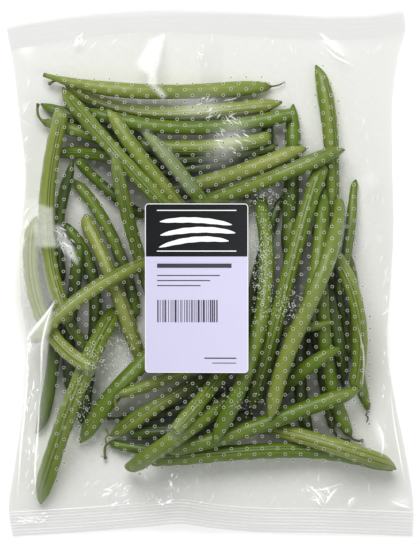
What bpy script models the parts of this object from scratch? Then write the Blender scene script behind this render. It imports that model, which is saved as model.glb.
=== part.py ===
"""A bundle of green beans in its clear perforated film bag, lying on its back.

Row frame: +Z up, +X to the right of the label, +Y towards the bag's top seal. The origin is the
centre of the bag's outline, on the surface that it lies on. Plan sizes are in millimetres.
"""

import math

import bmesh
import bpy
import numpy as np

MM = 0.001

# Bag
BAG_HALF_WIDTH = 106.2
BAG_HALF_LENGTH = 138.0
FILM = 0.6
SEAL_DEPTH = 13.0
SEAL_RISE = 3.0
SIDE_WALL = 1.0
SIDE_HEIGHT = 8.0
PUFF = 0.0022
CELLS_ACROSS = 26
CELLS_ALONG = 34
START_HEIGHT = 12.0
WALL_SLOPE = 0.35
SHEET_ROUNDS = 1600
# How far the seals stand up from the surface: everywhere, then as (middle, reach, height) swells
SEAL_LIFT = 0.5
TOP_SWELLS = ((-34.0, 38.0, 2.6), (96.0, 20.0, 1.6))
BOTTOM_SWELLS = ((-15.0, 24.0, 5.0), (60.0, 26.0, 1.2))
LIFT_REACH = 26.0

# Half widths to the left and right, as (distance up the bag, place of that edge).
LEFT_EDGE = (
    (-138.0, -103.0), (-124.0, -105.0), (-100.0, -101.6), (-62.0, -96.5), (-35.0, -95.2),
    (-12.0, -98.6), (8.0, -99.0), (28.0, -97.6), (50.0, -96.2), (80.0, -99.4),
    (110.0, -103.0), (128.5, -106.2), (138.0, -106.2),
)
RIGHT_EDGE = (
    (-138.0, 105.6), (-123.0, 106.2), (-100.0, 103.0), (-70.0, 97.0), (-40.0, 92.4),
    (-10.0, 93.8), (20.0, 95.6), (60.0, 95.0), (90.0, 95.2), (112.0, 98.0),
    (129.0, 102.0), (138.0, 100.5),
)
# The cut edges of the two seals, as (distance across the bag, place of that edge).
BOTTOM_EDGE = (
    (-106.0, -138.0), (-60.0, -135.2), (-30.0, -132.6), (-15.0, -131.2), (0.0, -133.4),
    (20.0, -135.4), (60.0, -136.2), (106.0, -138.0),
)
TOP_EDGE = (
    (-106.0, 128.5), (-80.0, 133.0), (-55.0, 136.4), (-30.0, 138.0), (0.0, 137.0),
    (40.0, 135.0), (68.0, 134.0), (88.0, 135.4), (101.0, 137.6),
)

# Vents: needle holes through both sheets
VENT_RADIUS = 0.5
VENT_SIDES = 6
VENT_PITCH_ACROSS = 46.8
VENT_PITCH_ALONG = 36.8
VENT_ROWS = 6
VENT_COLUMNS = 4
VENT_CLEAR = 2.0

# Label
LABEL_WIDTH = 53.3
LABEL_LENGTH = 87.3
LABEL_CENTRE = (-6.9, -8.3)
LABEL_THICKNESS = 0.4
LABEL_CORNER = 2.0
LABEL_MARGIN = 3.0
TOUCH_MARGIN = 1.0
LABEL_TILT = 0.08
TILT_COST = 600.0
CORNER_STEPS = 3

# Spaces between neighbours
GAP = 0.4
SHEET_GAP = 0.35

# Beans
SIDES = 8
SAMPLE_STEP = 2.0
END_RINGS = (0.0, 2.0, 5.0, 9.0, 15.0)
RING_SPACING = 17.5
SEED_PITCH = 10.5
SEED_SWELL = 0.035
STEM_RADIUS = 0.85
CALYX_RADIUS = 1.7
CALYX_LENGTH = 9.0
NECK_LENGTH = 34.0
NECK_SHARE = 0.28
CAP_LENGTH = 7.0
POINT_LENGTH = 13.0
BEAK_LENGTH = 7.0
BEAK_TURN = 0.3
BEAK_RADIUS = 0.45
KNOB_SHARE = 1.35
TIP_BULGE = 0.55
TRIM_LENGTH = 5.0
TRIM_SHARE = 0.82
TAPER_ROUND = 3.0
TAPER_LENGTH = 30.0
TAPER_SHARE = 0.55
CAP_POWER = 2.4
NECK_POWER = 1.5
CALYX_POWER = 0.9
POINT_POWER = 0.65
TAIL_REACH = 0.6
CUT_DOME = 0.25
BENDS = (-42.0, -36.0, -30.0, -25.0, -20.0, -16.0, -12.0, -9.0, -6.0, -3.0, 0.0, 3.0, 6.0, 10.0)
BEND_COST = 0.004
END_COST = 0.6

GREEN = (0.16, 0.33, 0.045, 1.0)
PALE_GREEN = (0.27, 0.43, 0.08, 1.0)
DARK_GREEN = (0.09, 0.21, 0.03, 1.0)

# Each bean, from the lowest to the uppermost: girth across the pod, how it starts, how it ends,
# the points in plan that its middle passes, and where its stem ends if it has one.
BEANS = (
    (7.8, "point", "cap", ((42.3, 87.3), (43.2, 70.0), (42.6, 47.0), (40.5, 8.0)), None),
    (7.9, "point", "cap", ((56.3, 108.0), (61.6, 82.0), (63.6, 50.0), (61.5, 2.0)), None),
    (6.6, "point", "cap", ((31.0, 86.0), (29.6, 68.0), (29.0, 44.0)), None),
    (7.3, "point", "cap", ((-88.5, 86.6), (-74.0, 82.0), (-28.0, 70.0)), None),
    (6.9, "stem", "point", ((-85.0, 77.8), (-70.0, 73.6), (-26.0, 57.0)), (-89.6, 87.6)),
    (6.6, "cap", "point", ((-80.0, 62.4), (-60.0, 61.4), (-36.0, 56.0)), None),
    (5.6, "point", "trim", ((-40.0, 49.0), (-9.0, 53.8), (20.0, 59.0)), None),
    (4.9, "cap", "cap", ((-38.0, 57.5), (-6.0, 59.3), (35.4, 64.8)), None),
    (7.5, "cap", "cap", ((-38.0, 66.2), (0.0, 65.2), (32.4, 69.8)), None),
    (7.5, "stem", "point", ((-74.0, 98.2), (-50.0, 85.8), (-12.0, 82.6), (37.6, 87.4)), (-84.0, 98.0)),
    (7.8, "neck", "beak", ((-86.5, 102.8), (-50.0, 95.0), (-10.0, 94.0), (32.2, 96.8)), None),
    (7.5, "point", "trim", ((-64.0, 84.0), (-40.0, 77.4), (0.0, 75.2), (42.0, 82.2)), None),
    (5.5, "trim", "cap", ((-68.5, 57.4), (-57.0, 46.0), (-33.0, 28.0)), None),
    (6.4, "point", "cap", ((-72.2, 49.2), (-60.5, 35.0), (-50.0, 16.0), (-38.0, -24.0)), None),
    (6.5, "stem", "cap", ((-76.0, 24.2), (-65.0, 9.0), (-60.6, -35.0), (-66.0, -79.0)), (-80.5, 22.0)),
    (6.6, "cap", "cap", ((-68.5, 15.0), (-70.6, -8.0), (-73.4, -35.0), (-72.6, -63.0)), None),
    (6.7, "cap", "point", ((-78.5, -8.0), (-82.2, -50.0), (-85.4, -69.0), (-89.5, -84.6)), None),
    (6.0, "point", "cap", ((-70.5, 57.5), (-77.6, 34.0), (-77.0, -6.0)), None),
    (6.0, "point", "cap", ((-91.2, 13.2), (-85.0, -4.0), (-71.0, -30.0), (-58.0, -48.0)), None),
    (7.4, "trim", "cap", ((-41.0, -83.8), (-22.0, -82.8), (22.0, -74.0)), None),
    (5.6, "stem", "cap", ((-51.0, -89.4), (-38.0, -92.0), (2.0, -90.6)), (-54.6, -97.4)),
    (6.2, "stem", "cap", ((-44.6, -76.2), (-25.0, -73.6), (9.0, -63.0)), (-53.4, -76.4)),
    (8.1, "cap", "point", ((-32.0, -97.0), (-5.0, -95.4), (38.0, -92.7), (95.6, -102.4)), None),
    (7.2, "cap", "trim", ((50.6, -22.0), (46.8, -58.0), (51.2, -84.6)), None),
    (5.8, "cap", "stem", ((54.0, -26.0), (58.4, -52.0), (63.6, -80.0)), (72.6, -88.2)),
    (5.7, "cap", "stem", ((55.0, 24.0), (61.4, 4.0), (69.2, -22.0), (72.6, -42.2)), (80.6, -44.4)),
    (6.8, "cap", "point", ((58.6, -2.0), (64.6, -26.0), (70.6, -60.0)), None),
    (7.2, "cap", "stem", ((57.0, 6.0), (59.6, -36.0), (65.4, -67.0), (72.6, -84.6)), (79.8, -88.0)),
    (6.3, "cap", "beak", ((71.0, 10.0), (75.2, -16.0), (76.8, -46.0), (82.8, -72.6)), None),
    (5.6, "taper", "cap", ((74.9, 48.2), (73.4, 26.0), (66.0, -12.0)), None),
    (5.6, "cap", "cap", ((41.4, 27.6), (41.0, 8.0), (36.6, -24.0), (29.0, -58.0)), None),
    (5.6, "point", "cap", ((37.2, 40.2), (30.4, 20.0), (23.0, -8.0), (19.6, -50.0)), None),
    (6.6, "point", "cap", ((21.8, 41.4), (12.0, 18.0), (4.0, -34.0)), None),
    (7.7, "point", "cap", ((58.6, 43.6), (57.8, 22.0), (46.0, -32.0)), None),
    (8.0, "cap", "cap", ((-76.2, 84.6), (-82.4, 58.0), (-85.0, 22.0), (-72.5, -27.0)), None),
    (9.6, "cap", "point", ((-49.0, -19.0), (-63.6, -48.0), (-76.2, -80.0), (-89.4, -120.6)), None),
    (7.8, "cap", "point", ((-66.2, 29.4), (-52.8, 1.0), (-44.2, -22.0), (-35.4, -49.0)), None),
    (7.9, "point", "cap", ((-51.6, -86.2), (-35.0, -74.2), (-15.0, -62.4), (14.0, -47.0)), None),
    (8.9, "cap", "point", ((-16.0, -25.0), (-38.0, -50.0), (-55.4, -70.0), (-66.6, -89.4)), None),
    (6.3, "stem", "cap", ((-46.6, -63.4), (-25.0, -56.6), (12.0, -40.0)), (-47.6, -71.6)),
    (7.9, "point", "trim", ((-91.0, 29.0), (-93.0, 4.0), (-84.6, -27.6), (-61.6, -49.0)), None),
    (8.5, "point", "cap", ((97.2, -101.6), (72.0, -92.6), (50.0, -86.0), (24.0, -79.0)), None),
    (7.5, "cap", "cap", ((63.0, 11.0), (73.6, -9.0), (78.0, -36.0), (74.6, -62.0)), None),
    (5.4, "point", "cap", ((63.6, -26.6), (54.0, -28.0), (20.0, -36.0)), None),
    (7.3, "point", "cap", ((67.4, -38.6), (54.6, -46.4), (30.0, -70.0)), None),
    (8.4, "cap", "point", ((-24.0, -92.0), (2.0, -87.0), (40.0, -74.4), (78.2, -61.4)), None),
    (8.6, "trim", "cap", ((-40.6, -101.6), (-20.0, -87.2), (22.0, -59.0)), None),
    (7.5, "trim", "cap", ((-18.4, -82.2), (-3.8, -65.2), (20.0, -34.0)), None),
    (8.3, "cap", "point", ((58.4, 56.4), (49.4, 29.0), (35.8, -20.0), (20.4, -73.6)), None),
    (8.0, "trim", "point", ((26.0, 37.6), (29.4, 2.0), (21.6, -43.0), (1.0, -88.4)), None),
    (8.3, "taper", "point", ((67.6, 38.4), (62.2, 10.0), (45.2, -30.0), (32.0, -76.8)), None),
    (8.5, "cap", "point", ((-26.0, 41.4), (12.0, 50.9), (49.8, 65.2)), None),
    (8.1, "cap", "point", ((-24.0, 30.0), (26.0, 46.4), (69.4, 64.6)), None),
    (8.0, "point", "cap", ((-52.6, 85.0), (-43.4, 69.6), (-28.6, 50.0), (-2.0, 15.0)), None),
    (7.6, "point", "cap", ((-34.2, 73.2), (-22.6, 60.0), (-8.0, 41.6), (14.0, 6.0)), None),
    (7.8, "point", "cap", ((-77.6, 95.4), (-64.4, 79.6), (-38.0, 50.0), (-8.0, 17.0)), None),
    (6.8, "point", "cap", ((-49.4, 60.2), (-45.0, 39.0), (-40.0, 19.0), (-29.0, -16.0)), None),
    (7.1, "cap", "cap", ((-92.0, -37.0), (-77.0, -21.6), (-50.0, -2.8), (-6.0, 10.0)), None),
)


def metres(points):
    return [tuple(float(c) * MM for c in p) for p in points]


def finish_object(name, mesh_or_bm, material):
    """Links one named object that wears one material."""
    mesh = bpy.data.meshes.new(name)
    mesh_or_bm.to_mesh(mesh)
    mesh_or_bm.free()
    mesh.materials.append(material)
    mesh.shade_smooth()
    mesh.set_sharp_from_angle(angle=math.radians(55))
    piece = bpy.data.objects.new(name, mesh)
    bpy.context.scene.collection.objects.link(piece)
    return piece


def finish_material(name, colour, roughness, alpha=1.0):
    material = bpy.data.materials.new(name)
    material.use_nodes = True
    shader = material.node_tree.nodes["Principled BSDF"]
    shader.inputs["Base Color"].default_value = colour
    shader.inputs["Roughness"].default_value = roughness
    shader.inputs["Metallic"].default_value = 0.0
    shader.inputs["Alpha"].default_value = alpha
    return material


def plan_curve(points):
    """The polynomial in plan that passes all the points, spaced by the chords between them."""
    points = np.array(points, float)
    chords = np.linalg.norm(np.diff(points, axis=0), axis=1)
    knots = np.concatenate([[0.0], np.cumsum(chords)]) / chords.sum()
    powers = np.vander(knots, len(points), increasing=True)
    coefficients = np.linalg.solve(powers, points)

    def at(share):
        return np.vander(np.atleast_1d(share), len(points), increasing=True) @ coefficients

    return at


def even_shares(curve, length_step):
    """Shares of the curve at even distances along it, and its length."""
    fine = np.linspace(0.0, 1.0, 400)
    steps = np.linalg.norm(np.diff(curve(fine), axis=0), axis=1)
    run = np.concatenate([[0.0], np.cumsum(steps)])
    count = max(8, round(run[-1] / length_step))
    places = np.linspace(0.0, run[-1], count + 1)
    return np.interp(places, run, fine), places, run[-1]


def end_radius(distance, radius, form):
    """The pod's radius at a distance from one of its ends, by the way that it ends."""
    if form == "cap":
        share = np.clip(distance / CAP_LENGTH, 0.0, 1.0)
        return radius * np.sqrt(1.0 - (1.0 - share) ** CAP_POWER)
    if form == "taper":
        share = np.clip(distance / TAPER_ROUND, 0.0, 1.0)
        slim = np.sin(np.clip(distance / TAPER_LENGTH, 0.0, 1.0) * math.pi / 2)
        slim = TAPER_SHARE + (1.0 - TAPER_SHARE) * slim
        return radius * slim * np.sqrt(1.0 - (1.0 - share) ** CAP_POWER)
    if form == "trim":
        share = np.clip(distance / TRIM_LENGTH, 0.0, 1.0)
        return radius * (TRIM_SHARE + (1.0 - TRIM_SHARE) * share)
    if form == "neck":
        share = np.clip(distance / NECK_LENGTH, 0.0, 1.0)
        return radius * (NECK_SHARE + (1.0 - NECK_SHARE) * np.sin(share * math.pi / 2) ** NECK_POWER)
    if form == "stem":
        share = np.clip(distance / CALYX_LENGTH, 0.0, 1.0)
        return CALYX_RADIUS + (radius - CALYX_RADIUS) * np.sin(share * math.pi / 2) ** CALYX_POWER
    share = np.clip(distance / POINT_LENGTH, 0.0, 1.0)
    return radius * np.sin(share * math.pi / 2) ** POINT_POWER


def tail_points(start, heading, end):
    """A thin stem or beak that leaves the pod along its heading and curls to its end."""
    reach = np.linalg.norm(end - start)
    middle = start + heading * reach * TAIL_REACH
    share = np.linspace(0.0, 1.0, 5)[1:, None]
    return (1 - share) ** 2 * start + 2 * share * (1 - share) * middle + share**2 * end


class Bean:
    """One bean's middle line in plan, its radius along it, and its height once it is laid."""

    def __init__(self, girth, start, end, points, stem_end):
        radius = girth / 2
        curve = plan_curve(points)
        shares, along, self.length = even_shares(curve, SAMPLE_STEP)
        plan = curve(shares)
        radii = np.minimum(
            end_radius(along, radius, start), end_radius(self.length - along, radius, end)
        )
        swell = 1.0 + SEED_SWELL * np.sin(along / SEED_PITCH * 2 * math.pi + points[0][0])
        radii = np.maximum(radii * swell, BEAK_RADIUS)
        for form, at_end in ((start, False), (end, True)):
            if form not in ("stem", "beak"):
                continue
            plan, along, radii = self.add_tail(plan, along, radii, form, at_end, stem_end)
        self.plan, self.along, self.radii = plan, along, radii
        self.trimmed = (start == "trim", end == "trim")
        self.heights = None

    @staticmethod
    def add_tail(plan, along, radii, form, at_end, stem_end):
        """Lengthens the line by its thin stem, or by the beak at its tip."""
        if at_end:
            tip, before, edge, sign = plan[-1], plan[-2], along[-1], 1.0
        else:
            tip, before, edge, sign = plan[0], plan[1], along[0], -1.0
        heading = (tip - before) / np.linalg.norm(tip - before)
        if form == "stem":
            end, thin = np.array(stem_end, float), STEM_RADIUS
        else:
            side = np.array([-heading[1], heading[0]])
            end, thin = tip + heading * BEAK_LENGTH + side * BEAK_LENGTH * BEAK_TURN, BEAK_RADIUS
        tail = tail_points(tip, heading, end)
        steps = np.cumsum(np.linalg.norm(np.diff(np.vstack([tip, tail]), axis=0), axis=1))
        thin_radii = np.full(len(tail), thin)
        if form == "stem":
            thin_radii[-1] = thin * KNOB_SHARE
        if at_end:
            return (
                np.vstack([plan, tail]),
                np.concatenate([along, edge + sign * steps]),
                np.concatenate([radii, thin_radii]),
            )
        return (
            np.vstack([tail[::-1], plan]),
            np.concatenate([(edge + sign * steps)[::-1], along]),
            np.concatenate([thin_radii[::-1], radii]),
        )

    def support_under(self, laid):
        """The lowest height that each point of the middle line can have over what is laid."""
        lowest = under_sheet(*self.plan.T) + FILM + GAP + self.radii
        for other in laid:
            apart = np.linalg.norm(self.plan[:, None] - other.plan[None], axis=2)
            reach = self.radii[:, None] + other.radii[None] + GAP
            rise = np.sqrt(np.maximum(reach**2 - apart**2, 0.0))
            over = np.where(apart < reach, other.heights[None] + rise, 0.0)
            lowest = np.maximum(lowest, over.max(axis=1))
        return lowest

    def lay_on(self, laid):
        """Rests the bean on what is laid: the lowest line over it, with the bend that suits."""
        lowest = self.support_under(laid)
        share = self.along / self.length
        best = None
        for start_bend in BENDS:
            for end_bend in BENDS:
                bow = start_bend * np.clip(1 - 2 * share, 0, 1) ** 2
                bow = bow + end_bend * np.clip(2 * share - 1, 0, 1) ** 2
                level, slope = resting_line(share, lowest - bow)
                heights = level + slope * share + bow
                score = heights.mean() + END_COST * (heights[0] + heights[-1])
                score += BEND_COST * (start_bend**2 + end_bend**2)
                if best is None or score < best[0]:
                    best = (score, heights)
        self.heights = best[1]


def resting_line(share, lowest):
    """Level and slope of the lowest straight line that stays over every point."""
    middle = share.mean()
    left = [i for i in range(len(share)) if share[i] <= middle]
    right = [i for i in range(len(share)) if share[i] > middle]
    a, b = np.meshgrid(left, right, indexing="ij")
    slope = (lowest[b] - lowest[a]) / (share[b] - share[a])
    at_middle = lowest[a] + slope * (middle - share[a])
    over = np.unravel_index(np.argmax(at_middle), at_middle.shape)
    slope = slope[over]
    return at_middle[over] - slope * middle, slope


def ring_places(bean):
    """Which of the sampled points carry a ring: close together at the ends, wide apart between."""
    along, last = bean.along, len(bean.along) - 1
    edge = END_RINGS[-1]
    inner = bean.length - 2 * edge
    spans = max(1, round(inner / RING_SPACING))
    between = [edge + inner * k / spans for k in range(1, spans)]
    places = [*END_RINGS, *between, *(bean.length - place for place in END_RINGS)]
    found = {int(np.abs(along - place).argmin()) for place in places}
    tails = {i for i in range(last + 1) if along[i] < 0 or along[i] > bean.length + 1e-6}
    return sorted(found | tails | {0, last})


def bean_mesh(bean):
    """A closed skin of rings along the bean, with a pole at each end."""
    bm = bmesh.new()
    line = np.column_stack([bean.plan, bean.heights])
    heading = np.gradient(line, axis=0)
    heading /= np.linalg.norm(heading, axis=1)[:, None]
    places = ring_places(bean)
    trimmed_start, trimmed_end = bean.trimmed
    rings = []
    for i in places:
        side = np.cross((0.0, 0.0, 1.0), heading[i])
        side /= np.linalg.norm(side)
        up = np.cross(heading[i], side)
        ring = []
        for k in range(SIDES):
            angle = 2 * math.pi * (k + 0.5) / SIDES
            radius = bean.radii[i]
            at = line[i] + radius * (math.cos(angle) * side + math.sin(angle) * up)
            ring.append(bm.verts.new(metres([at])[0]))
        rings.append(ring)
    for a, b in zip(rings, rings[1:]):
        for k in range(SIDES):
            n = (k + 1) % SIDES
            bm.faces.new((a[k], a[n], b[n], b[k]))
    for ring, i, cut, sign in (
        (rings[0], places[0], trimmed_start, -1.0),
        (rings[-1], places[-1], trimmed_end, 1.0),
    ):
        bulge = CUT_DOME if cut else max(CUT_DOME, TIP_BULGE * bean.radii[i])
        pole = bm.verts.new(metres([line[i] + sign * bulge * heading[i]])[0])
        for k in range(SIDES):
            n = (k + 1) % SIDES
            pair = (ring[n], ring[k]) if sign < 0 else (ring[k], ring[n])
            bm.faces.new((*pair, pole))
    bmesh.ops.recalc_face_normals(bm, faces=bm.faces)
    return bm


def smooth_through(points, places):
    """A smooth curve through points, each given as (place, value), read at other places."""
    at, value = (np.array(column, float) for column in zip(*points))
    slope = np.gradient(value, at)
    places = np.clip(places, at[0], at[-1])
    i = np.clip(np.searchsorted(at, places, side="right") - 1, 0, len(at) - 2)
    width = at[i + 1] - at[i]
    t = (places - at[i]) / width
    return (
        (2 * t**3 - 3 * t**2 + 1) * value[i]
        + (t**3 - 2 * t**2 + t) * width * slope[i]
        + (3 * t**2 - 2 * t**3) * value[i + 1]
        + (t**3 - t**2) * width * slope[i + 1]
    )


def fade(distance, width):
    """1 at no distance, and 0 from the width on, with no corner at either."""
    t = np.clip(distance / width, 0.0, 1.0)
    return 1.0 - t * t * (3.0 - 2.0 * t)


def seal_lift(x, top):
    """How far each seal stands up from the surface, across the bag."""
    swells = TOP_SWELLS if top else BOTTOM_SWELLS
    return SEAL_LIFT + sum(
        height * np.exp(-(((x - middle) / reach) ** 2)) for middle, reach, height in swells
    )


def under_sheet(x, y):
    """The height of the back sheet's outer face: flat on the surface, and up at the seals."""
    low = seal_lift(x, False) * fade(y + BAG_HALF_LENGTH - SEAL_DEPTH, LIFT_REACH)
    high = seal_lift(x, True) * fade(BAG_HALF_LENGTH - SEAL_DEPTH - y, LIFT_REACH)
    return np.maximum(low, high)


class Pile:
    """The shape of the laid beans from above, on a fine square grid."""

    STEP = 2.0
    PAD = 1.2

    def __init__(self, beans):
        self.x = np.arange(-BAG_HALF_WIDTH - 4, BAG_HALF_WIDTH + 4, self.STEP)
        self.y = np.arange(-BAG_HALF_LENGTH - 4, BAG_HALF_LENGTH + 4, self.STEP)
        self.top = np.zeros((len(self.x), len(self.y)))
        for bean in beans:
            for (px, py), z, r in zip(bean.plan, bean.heights, bean.radii):
                self.raise_round(px, py, z, r + GAP + FILM)

    def raise_round(self, px, py, z, r):
        i = np.where(np.abs(self.x - px) < r + self.PAD)[0]
        j = np.where(np.abs(self.y - py) < r + self.PAD)[0]
        apart = np.hypot(self.x[i, None] - px, self.y[None, j] - py)
        apart = np.maximum(apart - self.PAD, 0.0)
        crown = np.where(apart < r, z + np.sqrt(np.maximum(r * r - apart**2, 0.0)), 0.0)
        window = np.ix_(i, j)
        self.top[window] = np.maximum(self.top[window], crown)

    def read(self, field, x, y):
        """The field's value at any places, between the grid's points."""
        u = np.clip((x - self.x[0]) / self.STEP, 0, len(self.x) - 1.001)
        v = np.clip((y - self.y[0]) / self.STEP, 0, len(self.y) - 1.001)
        i, j = u.astype(int), v.astype(int)
        a, b = u - i, v - j
        return (
            field[i, j] * (1 - a) * (1 - b)
            + field[i + 1, j] * a * (1 - b)
            + field[i, j + 1] * (1 - a) * b
            + field[i + 1, j + 1] * a * b
        )


def label_plane(pile):
    """Height and slopes of the flat label, resting on the film over the pile."""
    cx, cy = LABEL_CENTRE
    x, y = np.meshgrid(pile.x, pile.y, indexing="ij")
    under = (np.abs(x - cx) < LABEL_WIDTH / 2 + LABEL_MARGIN) & (
        np.abs(y - cy) < LABEL_LENGTH / 2 + LABEL_MARGIN
    )
    top = pile.top[under]
    best = None
    for slope_x in np.linspace(-LABEL_TILT, LABEL_TILT, 9):
        for slope_y in np.linspace(-LABEL_TILT, LABEL_TILT, 9):
            tilt = slope_x * (x[under] - cx) + slope_y * (y[under] - cy)
            level = (top - tilt).max()
            score = level + TILT_COST * (slope_x**2 + slope_y**2)
            if best is None or score < best[0]:
                best = (score, level, slope_x, slope_y)
    return best[1:]


def film_over(pile, plane):
    """The height of the front sheet's outer face: drawn over the pile and the label's back."""
    x, y = np.meshgrid(pile.x, pile.y, indexing="ij")
    level, slope_x, slope_y = plane
    cx, cy = LABEL_CENTRE
    behind_label = (np.abs(x - cx) < LABEL_WIDTH / 2 + LABEL_MARGIN) & (
        np.abs(y - cy) < LABEL_LENGTH / 2 + LABEL_MARGIN
    )
    flat = level + slope_x * (x - cx) + slope_y * (y - cy)
    side = np.minimum(x - smooth_through(LEFT_EDGE, y), smooth_through(RIGHT_EDGE, y) - x)
    end = np.minimum(
        y - smooth_through(BOTTOM_EDGE, x), smooth_through(TOP_EDGE, x) - y
    ) - SEAL_DEPTH
    bottom = under_sheet(x, y)
    sealed = (end < 0) | (side < 0)
    closed = bottom + 2 * FILM
    wall = np.minimum(SIDE_HEIGHT, closed + WALL_SLOPE * np.maximum(end, 0.0))
    least = np.maximum(pile.top, closed)
    held = np.where(end < 0, closed, wall)
    sheet = np.where(sealed, held, np.maximum(least, START_HEIGHT))
    for _ in range(SHEET_ROUNDS):
        around = (
            np.roll(sheet, 1, 0) + np.roll(sheet, -1, 0) + np.roll(sheet, 1, 1) + np.roll(sheet, -1, 1)
        ) / 4 + PUFF * pile.STEP**2 / 4
        sheet = np.where(sealed, held, np.maximum(around, least))
        sheet = np.where(behind_label, flat, sheet)
    return sheet


def grid_lines(count, extra):
    """Even shares from 0 to 1 after the extra lines that stand close to each end."""
    extra = np.array(extra)
    inner = np.linspace(extra[-1], 1.0 - extra[-1], count + 1 - 2 * len(extra))
    return np.concatenate([[0.0], extra[:-1], inner, 1.0 - extra[-2::-1], [1.0]])


def bag_grid():
    """Where the bag's mesh lines cross, in plan."""
    across = grid_lines(CELLS_ACROSS, [SIDE_WALL / (2 * BAG_HALF_WIDTH)])
    seal = SEAL_DEPTH / (2 * BAG_HALF_LENGTH)
    along = grid_lines(CELLS_ALONG, [seal, seal + SEAL_RISE / (2 * BAG_HALF_LENGTH)])
    u, v = np.meshgrid(across, along, indexing="ij")
    x = (2 * u - 1) * BAG_HALF_WIDTH
    y = (2 * v - 1) * BAG_HALF_LENGTH
    for _ in range(3):
        low, high = smooth_through(BOTTOM_EDGE, x), smooth_through(TOP_EDGE, x)
        y = low + (high - low) * v
        left, right = smooth_through(LEFT_EDGE, y), smooth_through(RIGHT_EDGE, y)
        x = left + (right - left) * u
    return x, y


def cleared(x, y, height, pile):
    """Raises the corners of the inner cells until their flat triangles stay over the pile."""
    shares = np.linspace(0.0, 1.0, 7)
    for _ in range(4):
        short = np.zeros(tuple(n - 1 for n in height.shape))
        for a in shares:
            for b in shares:
                px = mix_cell(x, a, b)
                py = mix_cell(y, a, b)
                short = np.maximum(short, pile.read(pile.top, px, py) - mix_cell(height, a, b))
        short[[0, -1], :] = short[:, [0, -1]] = 0.0
        lift = np.zeros_like(height)
        for di in (0, 1):
            for dj in (0, 1):
                corner = lift[di : di + short.shape[0], dj : dj + short.shape[1]]
                np.maximum(corner, short, out=corner)
        height = height + lift
    return height


def mix_cell(field, a, b):
    """The value in every cell at shares a and b, on the triangle that the place lies in."""
    f00, f10, f01, f11 = field[:-1, :-1], field[1:, :-1], field[:-1, 1:], field[1:, 1:]
    if a > b:
        return f00 + a * (f10 - f00) + b * (f11 - f10)
    return f00 + b * (f01 - f00) + a * (f11 - f01)


def add_skin(bm, x, y, height, columns, rows, made, facing_up):
    """Two triangles for each cell of one face of a sheet. Points already made are shared."""
    points = {}
    for i in columns:
        for j in rows:
            at = metres([(x[i, j], y[i, j], height[i, j])])[0]
            points[i, j] = made.get((i, j)) or bm.verts.new(at)
    for i in columns[:-1]:
        for j in rows[:-1]:
            a, b, c, d = points[i, j], points[i + 1, j], points[i + 1, j + 1], points[i, j + 1]
            for face in ((a, b, c), (a, c, d)):
                bm.faces.new(face if facing_up else face[::-1])
    return points


def bag_mesh(pile, sheet):
    """A tube of film pressed flat, sealed at both ends, with its beans' room inside."""
    x, y = bag_grid()
    under = under_sheet(x, y)
    over = pile.read(sheet, x, y)
    last_i, last_j = CELLS_ACROSS, CELLS_ALONG
    over = cleared(x, y, np.maximum(over, under + 2 * FILM), pile)
    for j in (0, 1, last_j - 1, last_j):
        over[:, j] = under[:, j] + 2 * FILM
    bm = bmesh.new()
    outer_i, outer_j = list(range(last_i + 1)), list(range(last_j + 1))
    top = add_skin(bm, x, y, over, outer_i, outer_j, {}, True)
    bottom = add_skin(bm, x, y, under, outer_i, outer_j, {}, False)
    loop = [(i, 0) for i in outer_i] + [(last_i, j) for j in outer_j[1:]]
    loop += [(i, last_j) for i in outer_i[-2::-1]] + [(0, j) for j in outer_j[-2:0:-1]]
    for here, after in zip(loop, loop[1:] + loop[:1]):
        bm.faces.new((bottom[here], bottom[after], top[after], top[here]))
    inner_i, inner_j = outer_i[1:-1], outer_j[1:-1]
    high, low = over - FILM, under + FILM
    for j in (1, last_j - 1):
        high[:, j] = low[:, j] = under[:, j] + FILM
    joined = {(i, j): None for i in inner_i for j in (1, last_j - 1)}
    for at in joined:
        joined[at] = bm.verts.new(metres([(x[at], y[at], low[at])])[0])
    ceiling = add_skin(bm, x, y, high, inner_i, inner_j, joined, False)
    floor = add_skin(bm, x, y, low, inner_i, inner_j, joined, True)
    for i, outwards in ((1, True), (last_i - 1, False)):
        for j in inner_j[:-1]:
            corners = (floor[i, j], floor[i, j + 1], ceiling[i, j + 1], ceiling[i, j])
            corners = tuple(dict.fromkeys(corners))
            bm.faces.new(corners if outwards else corners[::-1])
    return bm, x, y, over


def vent_places():
    """The staggered rows of needle holes, without those that the label would cover."""
    cx, cy = LABEL_CENTRE
    for row in range(VENT_ROWS):
        shift = VENT_PITCH_ACROSS / 4 * (1 if row % 2 else -1)
        for column in range(VENT_COLUMNS):
            x = (column - (VENT_COLUMNS - 1) / 2) * VENT_PITCH_ACROSS + shift
            y = (row - (VENT_ROWS - 1) / 2) * VENT_PITCH_ALONG
            beside = abs(x - cx) > LABEL_WIDTH / 2 + VENT_CLEAR
            if not beside and abs(y - cy) < LABEL_LENGTH / 2 + VENT_CLEAR:
                continue
            yield x, y


def vent_needles(height):
    """The needles that punch the vents, as one helper object."""
    bm = bmesh.new()
    for x, y in vent_places():
        made = bmesh.ops.create_cone(
            bm, cap_ends=True, segments=VENT_SIDES, radius1=VENT_RADIUS * MM,
            radius2=VENT_RADIUS * MM, depth=2 * height * MM,
        )
        bmesh.ops.translate(bm, verts=made["verts"], vec=(x * MM, y * MM, 0.0))
    needles = finish_object("vent_needles", bm, finish_material("helper", GREEN, 0.5))
    needles.hide_render = True
    needles.display_type = "WIRE"
    return needles


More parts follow.
